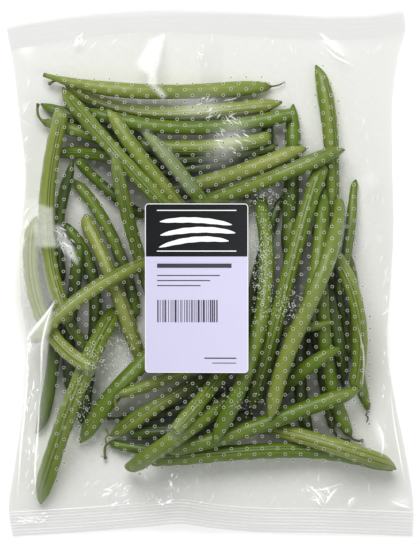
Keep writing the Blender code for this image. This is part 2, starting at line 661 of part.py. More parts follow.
def raised_over(plane, x, y, height):
    """The label's plane, lifted until it touches the highest place of the film behind it."""
    level, slope_x, slope_y = plane
    cx, cy = LABEL_CENTRE
    shares = np.linspace(0.0, 1.0, 9)
    for a in shares:
        for b in shares:
            px, py = mix_cell(x, a, b) - cx, mix_cell(y, a, b) - cy
            behind = np.abs(px) < LABEL_WIDTH / 2 + TOUCH_MARGIN
            behind &= np.abs(py) < LABEL_LENGTH / 2 + TOUCH_MARGIN
            stands = mix_cell(height, a, b) - slope_x * px - slope_y * py
            level = max(level, float(np.where(behind, stands, 0.0).max()))
    return level, slope_x, slope_y


def rounded_outline(width, length, corner):
    outline = []
    for quarter in range(4):
        sx = 1 if quarter in (0, 3) else -1
        sy = 1 if quarter in (0, 1) else -1
        for k in range(CORNER_STEPS + 1):
            angle = math.pi / 2 * (quarter + k / CORNER_STEPS)
            outline.append((
                sx * (width / 2 - corner) + corner * math.cos(angle),
                sy * (length / 2 - corner) + corner * math.sin(angle),
            ))
    return outline


def label_mesh(plane):
    """A thin flat rectangle with round corners, on the film."""
    level, slope_x, slope_y = plane
    bm = bmesh.new()
    faces = []
    for rise in (SHEET_GAP, SHEET_GAP + LABEL_THICKNESS):
        ring = []
        for dx, dy in rounded_outline(LABEL_WIDTH, LABEL_LENGTH, LABEL_CORNER):
            z = level + slope_x * dx + slope_y * dy + rise
            ring.append(bm.verts.new(metres([(LABEL_CENTRE[0] + dx, LABEL_CENTRE[1] + dy, z)])[0]))
        faces.append(ring)
    low, high = faces
    bm.faces.new(low[::-1])
    bm.faces.new(high)
    for k in range(len(low)):
        n = (k + 1) % len(low)
        bm.faces.new((low[k], low[n], high[n], high[k]))
    return bm


def main():
    for old in list(bpy.data.objects):
        bpy.data.objects.remove(old)

    laid = []
    for row in BEANS:
        bean = Bean(*row)
        bean.lay_on(laid)
        laid.append(bean)
    skins = [
        finish_material("pod_green", GREEN, 0.45),
        finish_material("pod_pale", PALE_GREEN, 0.45),
        finish_material("pod_dark", DARK_GREEN, 0.45),
    ]
    for number, bean in enumerate(laid, 1):
        finish_object(f"bean_{number:02d}", bean_mesh(bean), skins[number % len(skins)])

    pile = Pile(laid)
    plane = label_plane(pile)
    sheet = film_over(pile, plane)
    bm, x, y, over = bag_mesh(pile, sheet)
    bag = finish_object("bag", bm, finish_material("film", (0.9, 0.91, 0.9, 1.0), 0.15, 0.25))
    punched = bag.modifiers.new("vents", "BOOLEAN")
    punched.operation = "DIFFERENCE"
    punched.solver = "EXACT"
    punched.object = vent_needles(float(over.max()) + 5.0)
    plane = raised_over(plane, x, y, over)
    finish_object("label", label_mesh(plane), finish_material("label", (0.66, 0.64, 0.82, 1.0), 0.4))
    print("pile", round(float(pile.top.max()), 1), "label", [round(float(v), 3) for v in plane])


main()
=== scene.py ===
import math
import random

import bmesh
import bpy
import numpy as np
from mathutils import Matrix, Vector


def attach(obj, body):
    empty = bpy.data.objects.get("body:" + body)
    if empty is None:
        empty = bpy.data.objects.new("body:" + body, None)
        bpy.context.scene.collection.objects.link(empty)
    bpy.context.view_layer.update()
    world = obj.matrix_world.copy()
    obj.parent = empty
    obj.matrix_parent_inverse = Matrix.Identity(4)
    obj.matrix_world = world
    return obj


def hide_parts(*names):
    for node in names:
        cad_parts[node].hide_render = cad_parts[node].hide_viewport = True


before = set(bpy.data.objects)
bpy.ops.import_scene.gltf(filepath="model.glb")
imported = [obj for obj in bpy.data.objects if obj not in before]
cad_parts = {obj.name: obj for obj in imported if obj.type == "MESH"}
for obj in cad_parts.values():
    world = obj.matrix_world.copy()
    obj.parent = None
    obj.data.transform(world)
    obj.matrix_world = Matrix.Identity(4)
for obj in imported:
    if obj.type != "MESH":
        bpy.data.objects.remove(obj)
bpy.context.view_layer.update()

mm = 0.001


def meshPiece(name, points, faces, material, smooth=True):
    # one object from points in millimetres
    mesh = bpy.data.meshes.new(name)
    mesh.from_pydata([tuple(float(c) * mm for c in p) for p in points], [], faces)
    mesh.validate()
    mesh.materials.append(material)
    if smooth:
        mesh.shade_smooth()
        mesh.set_sharp_from_angle(angle=math.radians(50))
    piece = bpy.data.objects.new(name, mesh)
    bpy.context.scene.collection.objects.link(piece)
    return piece


def addValues(piece, name, values):
    # one number for each point, which the materials read
    layer = piece.data.attributes.new(name, "FLOAT", "POINT")
    layer.data.foreach_set("value", np.asarray(values, np.float32).ravel())


def addVectors(piece, name, vectors):
    layer = piece.data.attributes.new(name, "FLOAT_VECTOR", "POINT")
    layer.data.foreach_set("vector", np.asarray(vectors, np.float32).ravel())


def gridFaces(across, along, start=0):
    # faces of a sheet whose points run along first
    i, j = np.meshgrid(np.arange(across - 1), np.arange(along - 1), indexing="ij")
    corner = start + i * along + j
    faces = np.stack([corner, corner + along, corner + along + 1, corner + 1], -1)
    return faces.reshape(-1, 4).tolist()


def sheetPiece(name, x, y, z, material):
    return meshPiece(name, np.stack([x, y, z], -1).reshape(-1, 3), gridFaces(*x.shape), material)


def tubeFaces(rings, count):
    faces = []
    for k in range(rings - 1):
        for n in range(count):
            a, b = k * count + n, k * count + (n + 1) % count
            faces.append((a, a + count, b + count, b))
    return faces


def runAlong(points):
    # how far along the line each point is
    return np.concatenate([[0.0], np.cumsum(np.linalg.norm(np.diff(points, axis=0), axis=1))])


def directions(line, at):
    # ahead, to the side and up, at each place of a line
    ahead = np.gradient(line, at, axis=0)
    ahead /= np.linalg.norm(ahead, axis=1)[:, None]
    side = np.cross(ahead, (0.0, 0.0, 1.0))
    side /= np.linalg.norm(side, axis=1)[:, None]
    return ahead, side, np.cross(side, ahead)


def newMaterial(name, colour, roughness, metallic=0.0):
    material = bpy.data.materials.new(name)
    material.use_nodes = True
    shader = material.node_tree.nodes["Principled BSDF"]
    shader.inputs["Base Color"].default_value = (*colour, 1.0)
    shader.inputs["Roughness"].default_value = roughness
    shader.inputs["Metallic"].default_value = metallic
    return material, material.node_tree, shader


def addNode(tree, kind, **settings):
    node = tree.nodes.new(kind)
    for key, value in settings.items():
        setattr(node, key, value)
    return node


def readAttribute(tree, name, output="Fac"):
    return addNode(tree, "ShaderNodeAttribute", attribute_name=name).outputs[output]


def objectPlace(tree):
    return addNode(tree, "ShaderNodeTexCoord").outputs["Object"]


def mathNode(tree, operation, first, second, clamp=False):
    node = addNode(tree, "ShaderNodeMath", operation=operation, use_clamp=clamp)
    for socket, value in zip(node.inputs, (first, second)):
        if isinstance(value, (int, float)):
            socket.default_value = value
        else:
            tree.links.new(value, socket)
    return node.outputs[0]


def aroundMiddle(tree, tone, amount):
    # the tone's distance from its middle value, scaled
    return mathNode(tree, "MULTIPLY", mathNode(tree, "SUBTRACT", tone, 0.5), amount)


def mixColours(tree, share, first, second):
    node = addNode(tree, "ShaderNodeMix", data_type="RGBA")
    for socket, value in zip((node.inputs[0], node.inputs[6], node.inputs[7]), (share, first, second)):
        if isinstance(value, (int, float)):
            socket.default_value = value
        elif isinstance(value, tuple):
            socket.default_value = (*value, 1.0)
        else:
            tree.links.new(value, socket)
    return node.outputs[2]


def stepBetween(tree, value, low, high):
    node = addNode(tree, "ShaderNodeMapRange", interpolation_type="SMOOTHSTEP")
    node.inputs["From Min"].default_value = low
    node.inputs["From Max"].default_value = high
    tree.links.new(value, node.inputs["Value"])
    return node.outputs["Result"]


def mottleGroup():
    # soft uneven tone: two sizes of noise, between 0 and 1
    tree = bpy.data.node_groups.new("softMottle", "ShaderNodeTree")
    tree.interface.new_socket("Place", in_out="INPUT", socket_type="NodeSocketVector")
    size = tree.interface.new_socket("Size", in_out="INPUT", socket_type="NodeSocketFloat")
    fine = tree.interface.new_socket("Fine Share", in_out="INPUT", socket_type="NodeSocketFloat")
    size.default_value = 200.0
    fine.default_value = 0.35
    tree.interface.new_socket("Tone", in_out="OUTPUT", socket_type="NodeSocketFloat")
    ins = tree.nodes.new("NodeGroupInput")
    outs = tree.nodes.new("NodeGroupOutput")
    coarse = addNode(tree, "ShaderNodeTexNoise")
    small = addNode(tree, "ShaderNodeTexNoise")
    coarse.inputs["Detail"].default_value = 2.0
    small.inputs["Detail"].default_value = 3.0
    for noise in (coarse, small):
        tree.links.new(ins.outputs["Place"], noise.inputs["Vector"])
    tree.links.new(ins.outputs["Size"], coarse.inputs["Scale"])
    tree.links.new(mathNode(tree, "MULTIPLY", ins.outputs["Size"], 5.3), small.inputs["Scale"])
    mixed = addNode(tree, "ShaderNodeMix", data_type="FLOAT")
    tree.links.new(ins.outputs["Fine Share"], mixed.inputs[0])
    tree.links.new(coarse.outputs["Fac"], mixed.inputs[2])
    tree.links.new(small.outputs["Fac"], mixed.inputs[3])
    tree.links.new(mixed.outputs[0], outs.inputs["Tone"])
    return tree


softMottle = mottleGroup()


def addMottle(tree, place, size, fineShare):
    node = addNode(tree, "ShaderNodeGroup", node_tree=softMottle)
    node.inputs["Size"].default_value = size
    node.inputs["Fine Share"].default_value = fineShare
    tree.links.new(place, node.inputs["Place"])
    return node.outputs["Tone"]


def mottledMaterial(name, colour, roughness, size, dark, light):
    # a plain finish that varies softly between two colours
    material, tree, shader = newMaterial(name, colour, roughness)
    tone = addMottle(tree, objectPlace(tree), size, 0.5)
    tree.links.new(mixColours(tree, tone, dark, light), shader.inputs["Base Color"])
    return material, tree, shader


def addBump(tree, shader, height, strength, distance):
    bump = addNode(tree, "ShaderNodeBump")
    bump.inputs["Strength"].default_value = strength
    bump.inputs["Distance"].default_value = distance
    tree.links.new(height, bump.inputs["Height"])
    tree.links.new(bump.outputs["Normal"], shader.inputs["Normal"])


def smoothCurve(places, values, at):
    # cubic through the values, with slopes from their neighbours
    places = np.asarray(places, float)
    values = np.asarray(values, float)
    slopes = np.gradient(values, places, axis=0)
    i = np.clip(np.searchsorted(places, at, side="right") - 1, 0, len(places) - 2)
    width = places[i + 1] - places[i]
    t = (at - places[i]) / width
    if values.ndim > 1:
        t, width = t[:, None], width[:, None]
    before = (2 * t**3 - 3 * t**2 + 1) * values[i] + (t**3 - 2 * t**2 + t) * width * slopes[i]
    after = (3 * t**2 - 2 * t**3) * values[i + 1] + (t**3 - t**2) * width * slopes[i + 1]
    return before + after


podColours = {
    "deep": (0.058, 0.114, 0.001),
    "mid": (0.335, 0.560, 0.008),
    "light": (0.880, 1.000, 0.200),
    # seam: a painted highlight along the seam's ridge
    "seam": (0.720, 0.900, 0.170),
    # groove: a painted shade in the grooves beside the seam
    "groove": (0.040, 0.080, 0.002),
    "tip": (0.075, 0.080, 0.018),
    "dry": (0.400, 0.450, 0.120),
    "brown": (0.130, 0.090, 0.035),
    "cut": (0.420, 0.500, 0.180),
    "shadow": (0.012, 0.024, 0.000),
}

# how strongly each mask of a pod shows; seam is a painted highlight, groove and shadow are painted shade
podMasks = (("seam", 0.18), ("groove", 0.80), ("tip", 0.85), ("dry", 1.0), ("brown", 1.0), ("cut", 1.0),
            ("shadow", 0.95))


def podMaterial():
    look = podColours
    material, tree, shader = newMaterial("podSkin", look["mid"], 0.42)
    flow = readAttribute(tree, "podFlow", "Vector")
    mottle = addMottle(tree, flow, 130.0, 0.4)
    broad = addMottle(tree, flow, 26.0, 0.2)
    shade = mathNode(tree, "ADD", readAttribute(tree, "podTone"), aroundMiddle(tree, broad, 0.9))
    shade = mathNode(tree, "ADD", shade, aroundMiddle(tree, mottle, 0.6))
    green = mixColours(tree, stepBetween(tree, shade, -0.05, 0.55), look["deep"], look["mid"])
    green = mixColours(tree, stepBetween(tree, shade, 0.4, 1.0), green, look["light"])
    for name, share in podMasks:
        mask = readAttribute(tree, "pod" + name.capitalize())
        green = mixColours(tree, mathNode(tree, "MULTIPLY", mask, share), green, look[name])
    tree.links.new(green, shader.inputs["Base Color"])
    rough = mathNode(tree, "ADD", mathNode(tree, "MULTIPLY", mottle, 0.24), 0.32)
    tree.links.new(rough, shader.inputs["Roughness"])
    shader.inputs["Specular IOR Level"].default_value = 0.4
    shader.inputs["Subsurface Weight"].default_value = 0.06
    shader.inputs["Subsurface Radius"].default_value = (0.5, 1.0, 0.2)
    shader.inputs["Subsurface Scale"].default_value = 0.002
    shader.inputs["Coat Weight"].default_value = 0.12
    shader.inputs["Coat Roughness"].default_value = 0.3
    addBump(tree, shader, mottle, 0.35, 0.00025)
    return material


podShape = {
    "ringStep": 1.5,            # mm between rings
    "over": 0.08,               # mm added to the solid's radius
    "seedPitch": 10.5,          # mm between seeds
    "seedRise": 0.34,           # mm that a seed lifts each side
    "seamRise": 0.14,
    "grooveDepth": 0.16,
    "seamHalf": 0.17,           # angle from the seam's middle to the line beside it
    "seamWidth": 0.17,          # and how far round the seam's painted highlight goes
    "grooveWidth": 0.075,
    "flatness": 0.96,           # across the seam, against the width
    "twist": 0.45,              # turns of the seam over the pod's length, at most
    "lean": 1.1,                # mm that a tip stands off the middle
    "leanReach": 9.0,           # mm from the tip that the lean starts
    "thinRadius": 1.15,         # below this a ring is stem or beak
    "beakRadius": 0.62,         # and below this it is beak
    "stemRadius": 0.66,
    "stemLeast": 4.0,           # mm of thin rings that make a stem
    "trimShare": 0.6,           # an end this wide, against the widest ring, was cut
    "collar": 0.55,             # mm that the calyx stands out
    "calyxLength": 2.6,
    "slantReach": 5.0,          # mm from a cut end that its slant starts
    "sides": (0, 4, 8, 11, 14, 19, 26, 38, 54, 74, 96, 118, 142, 162, 180),
}

# pods that differ from the seeded ones: tone, the seam's turn and half width, slant of the cut
podNotes = {
    1: {"tone": 0.42, "roll": -0.9}, 2: {"tone": 0.68, "roll": -0.7}, 3: {"tone": 0.15},
    6: {"tone": 0.55, "roll": 0.1}, 7: {"tone": 0.25}, 8: {"tone": 0.28}, 9: {"tone": 0.62, "roll": 0.7},
    10: {"tone": 0.86, "roll": 0.15, "seam": 0.36}, 11: {"tone": 0.74, "roll": 1.4, "lean": 0.0},
    12: {"tone": 0.48, "roll": 1.2}, 18: {"tone": 0.05}, 20: {"tone": 0.45, "brownCut": 0.9},
    23: {"tone": 0.50, "roll": -0.2, "seam": 0.24}, 24: {"tone": 0.46, "roll": 1.5}, 25: {"tone": 0.3},
    26: {"tone": 0.55, "roll": 1.3}, 27: {"tone": 0.3}, 28: {"tone": 0.48, "roll": 1.4},
    29: {"tone": 0.62, "roll": 1.2}, 30: {"tone": 0.5, "roll": 1.2}, 31: {"tone": 0.6},
    33: {"tone": 0.78}, 34: {"tone": 0.5, "roll": 1.5}, 35: {"tone": 0.74, "roll": 0.3},
    36: {"tone": 0.60, "roll": 0.1, "seam": 0.22}, 37: {"tone": 0.98, "roll": -0.85}, 38: {"tone": 0.6},
    39: {"tone": 0.55, "roll": 1.6}, 40: {"stem": 0.95}, 41: {"tone": 0.85, "roll": 0.0, "seam": 0.26},
    42: {"tone": 0.72, "roll": 0.0, "seam": 0.34}, 43: {"tone": 0.64, "roll": 0.0, "seam": 0.24},
    44: {"tone": 0.62, "roll": 0.9}, 45: {"tone": 0.48, "roll": 1.5},
    46: {"tone": 0.50, "roll": 1.15, "seam": 0.22}, 47: {"tone": 0.58, "roll": 1.2, "slant": 0.7},
    48: {"tone": 0.60, "roll": 0.0, "seam": 0.24}, 49: {"tone": 0.58, "roll": -0.1, "seam": 0.30},
    50: {"tone": 0.50, "roll": 1.3}, 51: {"tone": 0.66, "roll": 1.5}, 52: {"tone": 0.76, "roll": 1.3},
    53: {"tone": 0.62, "roll": -0.85}, 54: {"tone": 0.68}, 55: {"tone": 0.66},
    56: {"tone": 0.64, "roll": 0.0, "seam": 0.22}, 57: {"tone": 0.66, "roll": 0.0},
    58: {"tone": 0.70, "roll": -0.75},
}

# plan points of the tails that curl more than their solids do
podCurls = {29: ((82.2, -73.4), (81.2, -74.3), (82.5, -76.0), (81.6, -78.6))}


def podRings(node):
    # the solid's rings, found layer by layer from the pole at one end
    solid = bmesh.new()
    solid.from_mesh(node.data)
    bmesh.ops.remove_doubles(solid, verts=solid.verts, dist=0.000002)
    for pole in solid.verts:
        if len(pole.link_edges) != 8:
            continue
        layers, seen = [[pole]], {pole}
        while layers[-1]:
            around = {e.other_vert(v) for v in layers[-1] for e in v.link_edges} - seen
            seen |= around
            layers.append(list(around))
        layers.pop()
        sizes = [len(layer) for layer in layers]
        if sizes[0] == 1 and sizes[-1] == 1 and all(n == 8 for n in sizes[1:-1]):
            centres = [np.mean([v.co[:] for v in layer], axis=0) / mm for layer in layers]
            radii = [
                np.mean([np.linalg.norm(np.array(v.co) / mm - c) for v in layer])
                for layer, c in zip(layers, centres)
            ]
            solid.free()
            return np.array(centres)[1:-1], np.array(radii)[1:-1]
    raise ValueError("no rings in " + node.name)


def podLine(number, node):
    # the fine middle line, its radius, and the rings' own radii
    centres, radii = podRings(node)
    if number in podCurls:
        curl = np.array(podCurls[number])
        if np.linalg.norm(centres[0][:2] - curl[-1]) < np.linalg.norm(centres[-1][:2] - curl[-1]):
            centres, radii = centres[::-1], radii[::-1]
        body = radii > 0.6
        height = centres[body][-1][2]
        tail = np.column_stack([curl, np.full(len(curl), height)])
        centres = np.vstack([centres[body], tail])
        radii = np.concatenate([radii[body], np.linspace(0.5, 0.25, len(curl))])
    run = runAlong(centres)
    steps = max(12, round(run[-1] / podShape["ringStep"]))
    even = np.linspace(0.0, run[-1], steps + 1)
    close = np.array([0.35, 0.75, 1.2, 2.2])
    at = np.unique(np.concatenate([even, close, run[-1] - close]))
    line = smoothCurve(run, centres, at)
    width = np.interp(at, run, radii) * 0.4 + smoothCurve(run, radii, at) * 0.6
    return at, line, np.maximum(width, 0.25), radii


podHalf = np.radians(podShape["sides"])
podAngles = np.concatenate([podHalf, 2 * math.pi - podHalf[-2:0:-1]])
fromSeam = np.minimum(podAngles, 2 * math.pi - podAngles)
podRidge = np.exp(-((fromSeam / 0.14) ** 2)) + 0.5 * np.exp(-(((math.pi - fromSeam) / 0.17) ** 2))


class Pod:
    # one pod's line, widths and ends, and what is seeded about it
    def __init__(self, number, node):
        look = podShape
        self.number, self.note = number, podNotes.get(number, {})
        chance = random.Random(1000 + number)
        self.at, self.line, self.width, radii = podLine(number, node)
        self.length = self.at[-1]
        body = np.where(self.width >= look["thinRadius"])[0]
        self.first, self.last = self.at[body[0]], self.at[body[-1]]
        wide = look["trimShare"] * radii.max()
        self.trims = (radii[0] > wide, radii[-1] > wide)
        self.stems = (self.first > look["stemLeast"], self.length - self.last > look["stemLeast"])
        self.roll = self.note.get("roll", chance.choice([-1, 1]) * chance.uniform(0.3, 1.5))
        self.twist = chance.uniform(-1, 1) * look["twist"]
        phase = chance.uniform(0, 2 * math.pi)
        # painted shade: a seeded pod's tone is darker the lower it lies in the pile
        depth = np.clip(self.line[:, 2].mean() / 25.0, 0, 1) - 0.5
        self.tone = self.note.get("tone", chance.uniform(0.25, 0.62) + 0.3 * depth)
        self.ahead, self.side, self.up = directions(self.line, self.at)
        self.share = np.clip((self.at - self.first) / (self.last - self.first), 0, 1)
        self.full = np.clip(np.sin(self.share * math.pi) * 3.0, 0, 1) * (self.width > look["thinRadius"])
        pitch = look["seedPitch"] * chance.uniform(0.88, 1.12)
        swell = look["seedRise"] * chance.uniform(0.3, 1.0)
        seeds = (0.5 + 0.5 * np.cos(self.at / pitch * 2 * math.pi + phase)) ** 1.4
        self.bulge = self.full * swell * (seeds - 0.5)
        self.uneven = np.sin(self.at / 23.0 + phase) * 0.6 + np.sin(self.at / 9.1 + 2 * phase) * 0.4
        grooveAt = self.note.get("seam", look["seamHalf"])
        self.groove = np.exp(-(((fromSeam - grooveAt) / look["grooveWidth"]) ** 2))
        self.lean = self.note.get("lean", look["lean"]) * chance.choice([-1, 1])

    def endAt(self, k):
        # of the nearer end: trimmed, stalked, how far off it is, and how far past the body
        end = 0 if self.at[k] < self.length / 2 else 1
        past = self.first - self.at[k] if end == 0 else self.at[k] - self.last
        return self.trims[end], self.stems[end], min(self.at[k], self.length - self.at[k]), past

    def radiusAt(self, k):
        look = podShape
        stemmed, fromEnd, past = self.endAt(k)[1:]
        if stemmed and past > 0 and self.width[k] < look["beakRadius"]:
            return np.full(len(podAngles), 0.2 + 0.35 * fromEnd / (fromEnd + 3.0))
        if stemmed and past > 0:
            knob = 0.35 * math.exp(-((fromEnd / 1.3) ** 2))
            flare = 0.5 * math.exp(-((past / 1.2) ** 2))
            return np.full(len(podAngles), self.note.get("stem", look["stemRadius"]) + knob + flare)
        oval = np.sqrt(np.sin(podAngles) ** 2 + (look["flatness"] * np.cos(podAngles)) ** 2)
        r = (self.width[k] + look["over"]) * (oval + 0.012 * self.uneven[k])
        r = r + self.bulge[k] * np.sin(podAngles) ** 2
        r = r + self.full[k] * (look["seamRise"] * podRidge - look["grooveDepth"] * self.groove)
        if stemmed:
            r = r + look["collar"] * math.exp(-(((past + 1.2) / 1.3) ** 2))
        return r

    def ring(self, k):
        trimmed, stemmed, fromEnd = self.endAt(k)[:3]
        turn = self.roll + self.twist * (self.share[k] - 0.5)
        centre = self.line[k]
        if not stemmed and not trimmed:
            bend = np.clip(1 - fromEnd / podShape["leanReach"], 0, 1) ** 2
            centre = centre + self.side[k] * self.lean * bend
        r = self.radiusAt(k)[:, None]
        ring = centre + np.cos(podAngles + turn)[:, None] * self.up[k] * r
        ring = ring + np.sin(podAngles + turn)[:, None] * self.side[k] * r
        if trimmed and self.note.get("slant"):
            near = np.clip(1 - fromEnd / podShape["slantReach"], 0, 1)
            across = ((ring - centre) @ self.side[k]) * self.note["slant"] * near
            ring = ring + across[:, None] * self.ahead[k]
        return ring

    def flow(self, k):
        # where the mottling is read: stretched along the pod, and another part of it for each
        along = np.full(len(podAngles), self.at[k] * 0.22 * mm + self.number * 0.31)
        across = self.width[k] * mm
        return np.stack([along, np.sin(podAngles) * across, np.cos(podAngles) * across], -1)

    def masks(self, k):
        # how much of each colour lies over the green, round one ring
        trimmed, stemmed, fromEnd, past = self.endAt(k)
        onTail = stemmed and past > 0
        beak = onTail and self.width[k] < podShape["beakRadius"]
        stalk = onTail and not beak
        calyx = stemmed and not onTail and -past < podShape["calyxLength"]
        knob = stalk and fromEnd < 1.4
        plain = np.ones(len(podAngles))
        return {
            "podSeam": np.exp(-((fromSeam / podShape["seamWidth"]) ** 2)) * self.full[k],
            "podGroove": self.groove * self.full[k],
            "podTip": plain * (0.0 if trimmed or stemmed else np.clip(1.0 - fromEnd / 1.8, 0, 1)),
            "podDry": plain * (0.9 if stalk else 0.0),
            "podBrown": plain * (0.4 if calyx else 0.9 if beak else 0.5 if knob else 0.0),
            "podCut": plain * (0.6 if trimmed and fromEnd < 0.3 else 0.0),
        }


def podMesh(pod, material):
    stations, count = range(len(pod.line)), len(podAngles)
    rings = [pod.ring(k) for k in stations]
    flow = [pod.flow(k) for k in stations]
    masks = [pod.masks(k) for k in stations]
    faces, poles = tubeFaces(len(rings), count), []
    for k, sign, trimmed in ((0, -1, pod.trims[0]), (len(rings) - 1, 1, pod.trims[1])):
        reach = -0.5 if trimmed else 0.45 * min(pod.width[k], 1.2)
        poles.append(rings[k].mean(axis=0) + sign * reach * pod.ahead[k])
        pole = len(rings) * count + len(poles) - 1
        for n in range(count):
            a, b = k * count + n, k * count + (n + 1) % count
            faces.append((pole, a, b) if sign < 0 else (pole, b, a))
    points = np.vstack([*rings, poles])
    piece = meshPiece(f"pod{pod.number:02d}", points, faces, material)
    addVectors(piece, "podFlow", np.vstack([*flow, flow[0][0], flow[-1][0]]))
    for name in masks[0]:
        rows = [mask[name] for mask in masks]
        ends = [rows[0][0], rows[-1][0]]
        if name == "podCut":
            ends = [0.3 if trimmed else 0.0 for trimmed in pod.trims]
        if name == "podBrown":
            brown = pod.note.get("brownCut", 0.35)
            ends = [brown if trimmed else end for trimmed, end in zip(pod.trims, ends)]
        addValues(piece, name, np.concatenate([*rows, ends]))
    addValues(piece, "podTone", np.full(len(points), pod.tone))
    return piece


podSkin = podMaterial()
podNodes = sorted(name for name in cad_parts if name.startswith("bean_"))
podRows, podPieces = [], []
for number, name in enumerate(podNodes, 1):
    pod = Pod(number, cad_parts[name])
    piece = podMesh(pod, podSkin)
    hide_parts(name)
    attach(piece, "root")
    podRows.append((pod.line, pod.width))
    podPieces.append(piece)
print("pods made", len(podRows))


# stalk bits beside the pods: name, radius, points
twigs = (
    ("twigLeft", 0.55, ((-53.4, -90.4, 7.0), (-54.4, -87.0, 7.6), (-53.0, -84.2, 7.4), (-54.4, -81.6, 7.0))),
    ("tendrilRight", 0.42, ((65.0, -43.4, 15.0), (67.4, -43.8, 15.6), (68.4, -46.0, 15.4),
                            (66.8, -48.2, 15.0), (65.6, -46.6, 14.6))),
)
twigShape = {"rings": 24, "sides": 10}
twigMasks = {"podTone": 0.8, "podDry": 0.6, "podSeam": 0.0, "podGroove": 0.0, "podTip": 0.0,
             "podBrown": 0.15, "podCut": 0.0}


def buildTwig(name, radius, points):
    rings, sides = twigShape["rings"], twigShape["sides"]
    run = runAlong(np.array(points))
    at = np.linspace(0, run[-1], rings)
    line = smoothCurve(run, points, at)
    side, up = directions(line, at)[1:]
    turn = np.linspace(0, 2 * math.pi, sides, endpoint=False)
    thick = radius * (0.75 + 0.5 * np.abs(at / run[-1] - 0.4))
    spread = np.cos(turn)[None, :, None] * up[:, None] + np.sin(turn)[None, :, None] * side[:, None]
    places = (line[:, None] + thick[:, None, None] * spread).reshape(-1, 3)
    faces = tubeFaces(rings, sides)
    faces += [tuple(range(sides)), tuple(range(rings * sides - 1, (rings - 1) * sides - 1, -1))]
    piece = meshPiece(name, places, faces, podSkin)
    addVectors(piece, "podFlow", places * mm)
    for mask, value in twigMasks.items():
        addValues(piece, mask, np.full(len(places), value))
    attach(piece, "root")
    podPieces.append(piece)


for twig in twigs:
    buildTwig(*twig)


bagShape = {
    "billow": 4.9,              # mm that air lifts the front film off the pods, in the middle
    "billowReach": 30.0,        # mm from the edges over which it rises
    "halfWidth": 106.2, "halfLength": 138.0, "sealDepth": 13.0, "sealLift": 0.5, "liftReach": 26.0,
    "topSwells": ((-34.0, 38.0, 2.6), (96.0, 20.0, 1.6)),
    "bottomSwells": ((-15.0, 24.0, 5.0), (60.0, 26.0, 1.2)),
    "left": ((-138.0, -103.0), (-124.0, -105.0), (-100.0, -101.6), (-62.0, -96.5), (-35.0, -95.2),
             (-12.0, -98.6), (8.0, -99.0), (28.0, -97.6), (50.0, -96.2), (80.0, -99.4),
             (110.0, -103.0), (128.5, -106.2), (138.0, -106.2)),
    "right": ((-138.0, 105.6), (-123.0, 106.2), (-100.0, 103.0), (-70.0, 97.0), (-40.0, 92.4),
              (-10.0, 93.8), (20.0, 95.6), (60.0, 95.0), (90.0, 95.2), (112.0, 98.0),
              (129.0, 102.0), (138.0, 100.5)),
    "bottom": ((-106.0, -138.0), (-60.0, -135.2), (-30.0, -132.6), (-15.0, -131.2), (0.0, -133.4),
               (20.0, -135.4), (60.0, -136.2), (106.0, -138.0)),
    "top": ((-106.0, 128.5), (-80.0, 133.0), (-55.0, 136.4), (-30.0, 138.0), (0.0, 137.0),
            (40.0, 135.0), (68.0, 134.0), (88.0, 135.4), (101.0, 137.6)),
    "clearance": 0.45, "edgeRise": 2.2, "puff": 0.0016, "cell": 1.25, "rounds": 900,
    "across": 186, "along": 240,
}


def outlineAt(name, places):
    rows = np.array(bagShape[name])
    return smoothCurve(rows[:, 0], rows[:, 1], np.clip(places, rows[0, 0], rows[-1, 0]))


def fade(distance, width):
    t = np.clip(distance / width, 0.0, 1.0)
    return 1.0 - t * t * (3.0 - 2.0 * t)


def sealLift(x, swells):
    lift = bagShape["sealLift"]
    for middle, reach, height in swells:
        lift = lift + height * np.exp(-(((x - middle) / reach) ** 2))
    return lift


def backSheet(x, y):
    # flat on the floor, and up at the seals
    start = bagShape["halfLength"] - bagShape["sealDepth"]
    low = sealLift(x, bagShape["bottomSwells"]) * fade(y + start, bagShape["liftReach"])
    high = sealLift(x, bagShape["topSwells"]) * fade(start - y, bagShape["liftReach"])
    return np.maximum(low, high)


def averaged(sheet):
    return (np.roll(sheet, 1, 0) + np.roll(sheet, -1, 0) + np.roll(sheet, 1, 1) + np.roll(sheet, -1, 1)) / 4


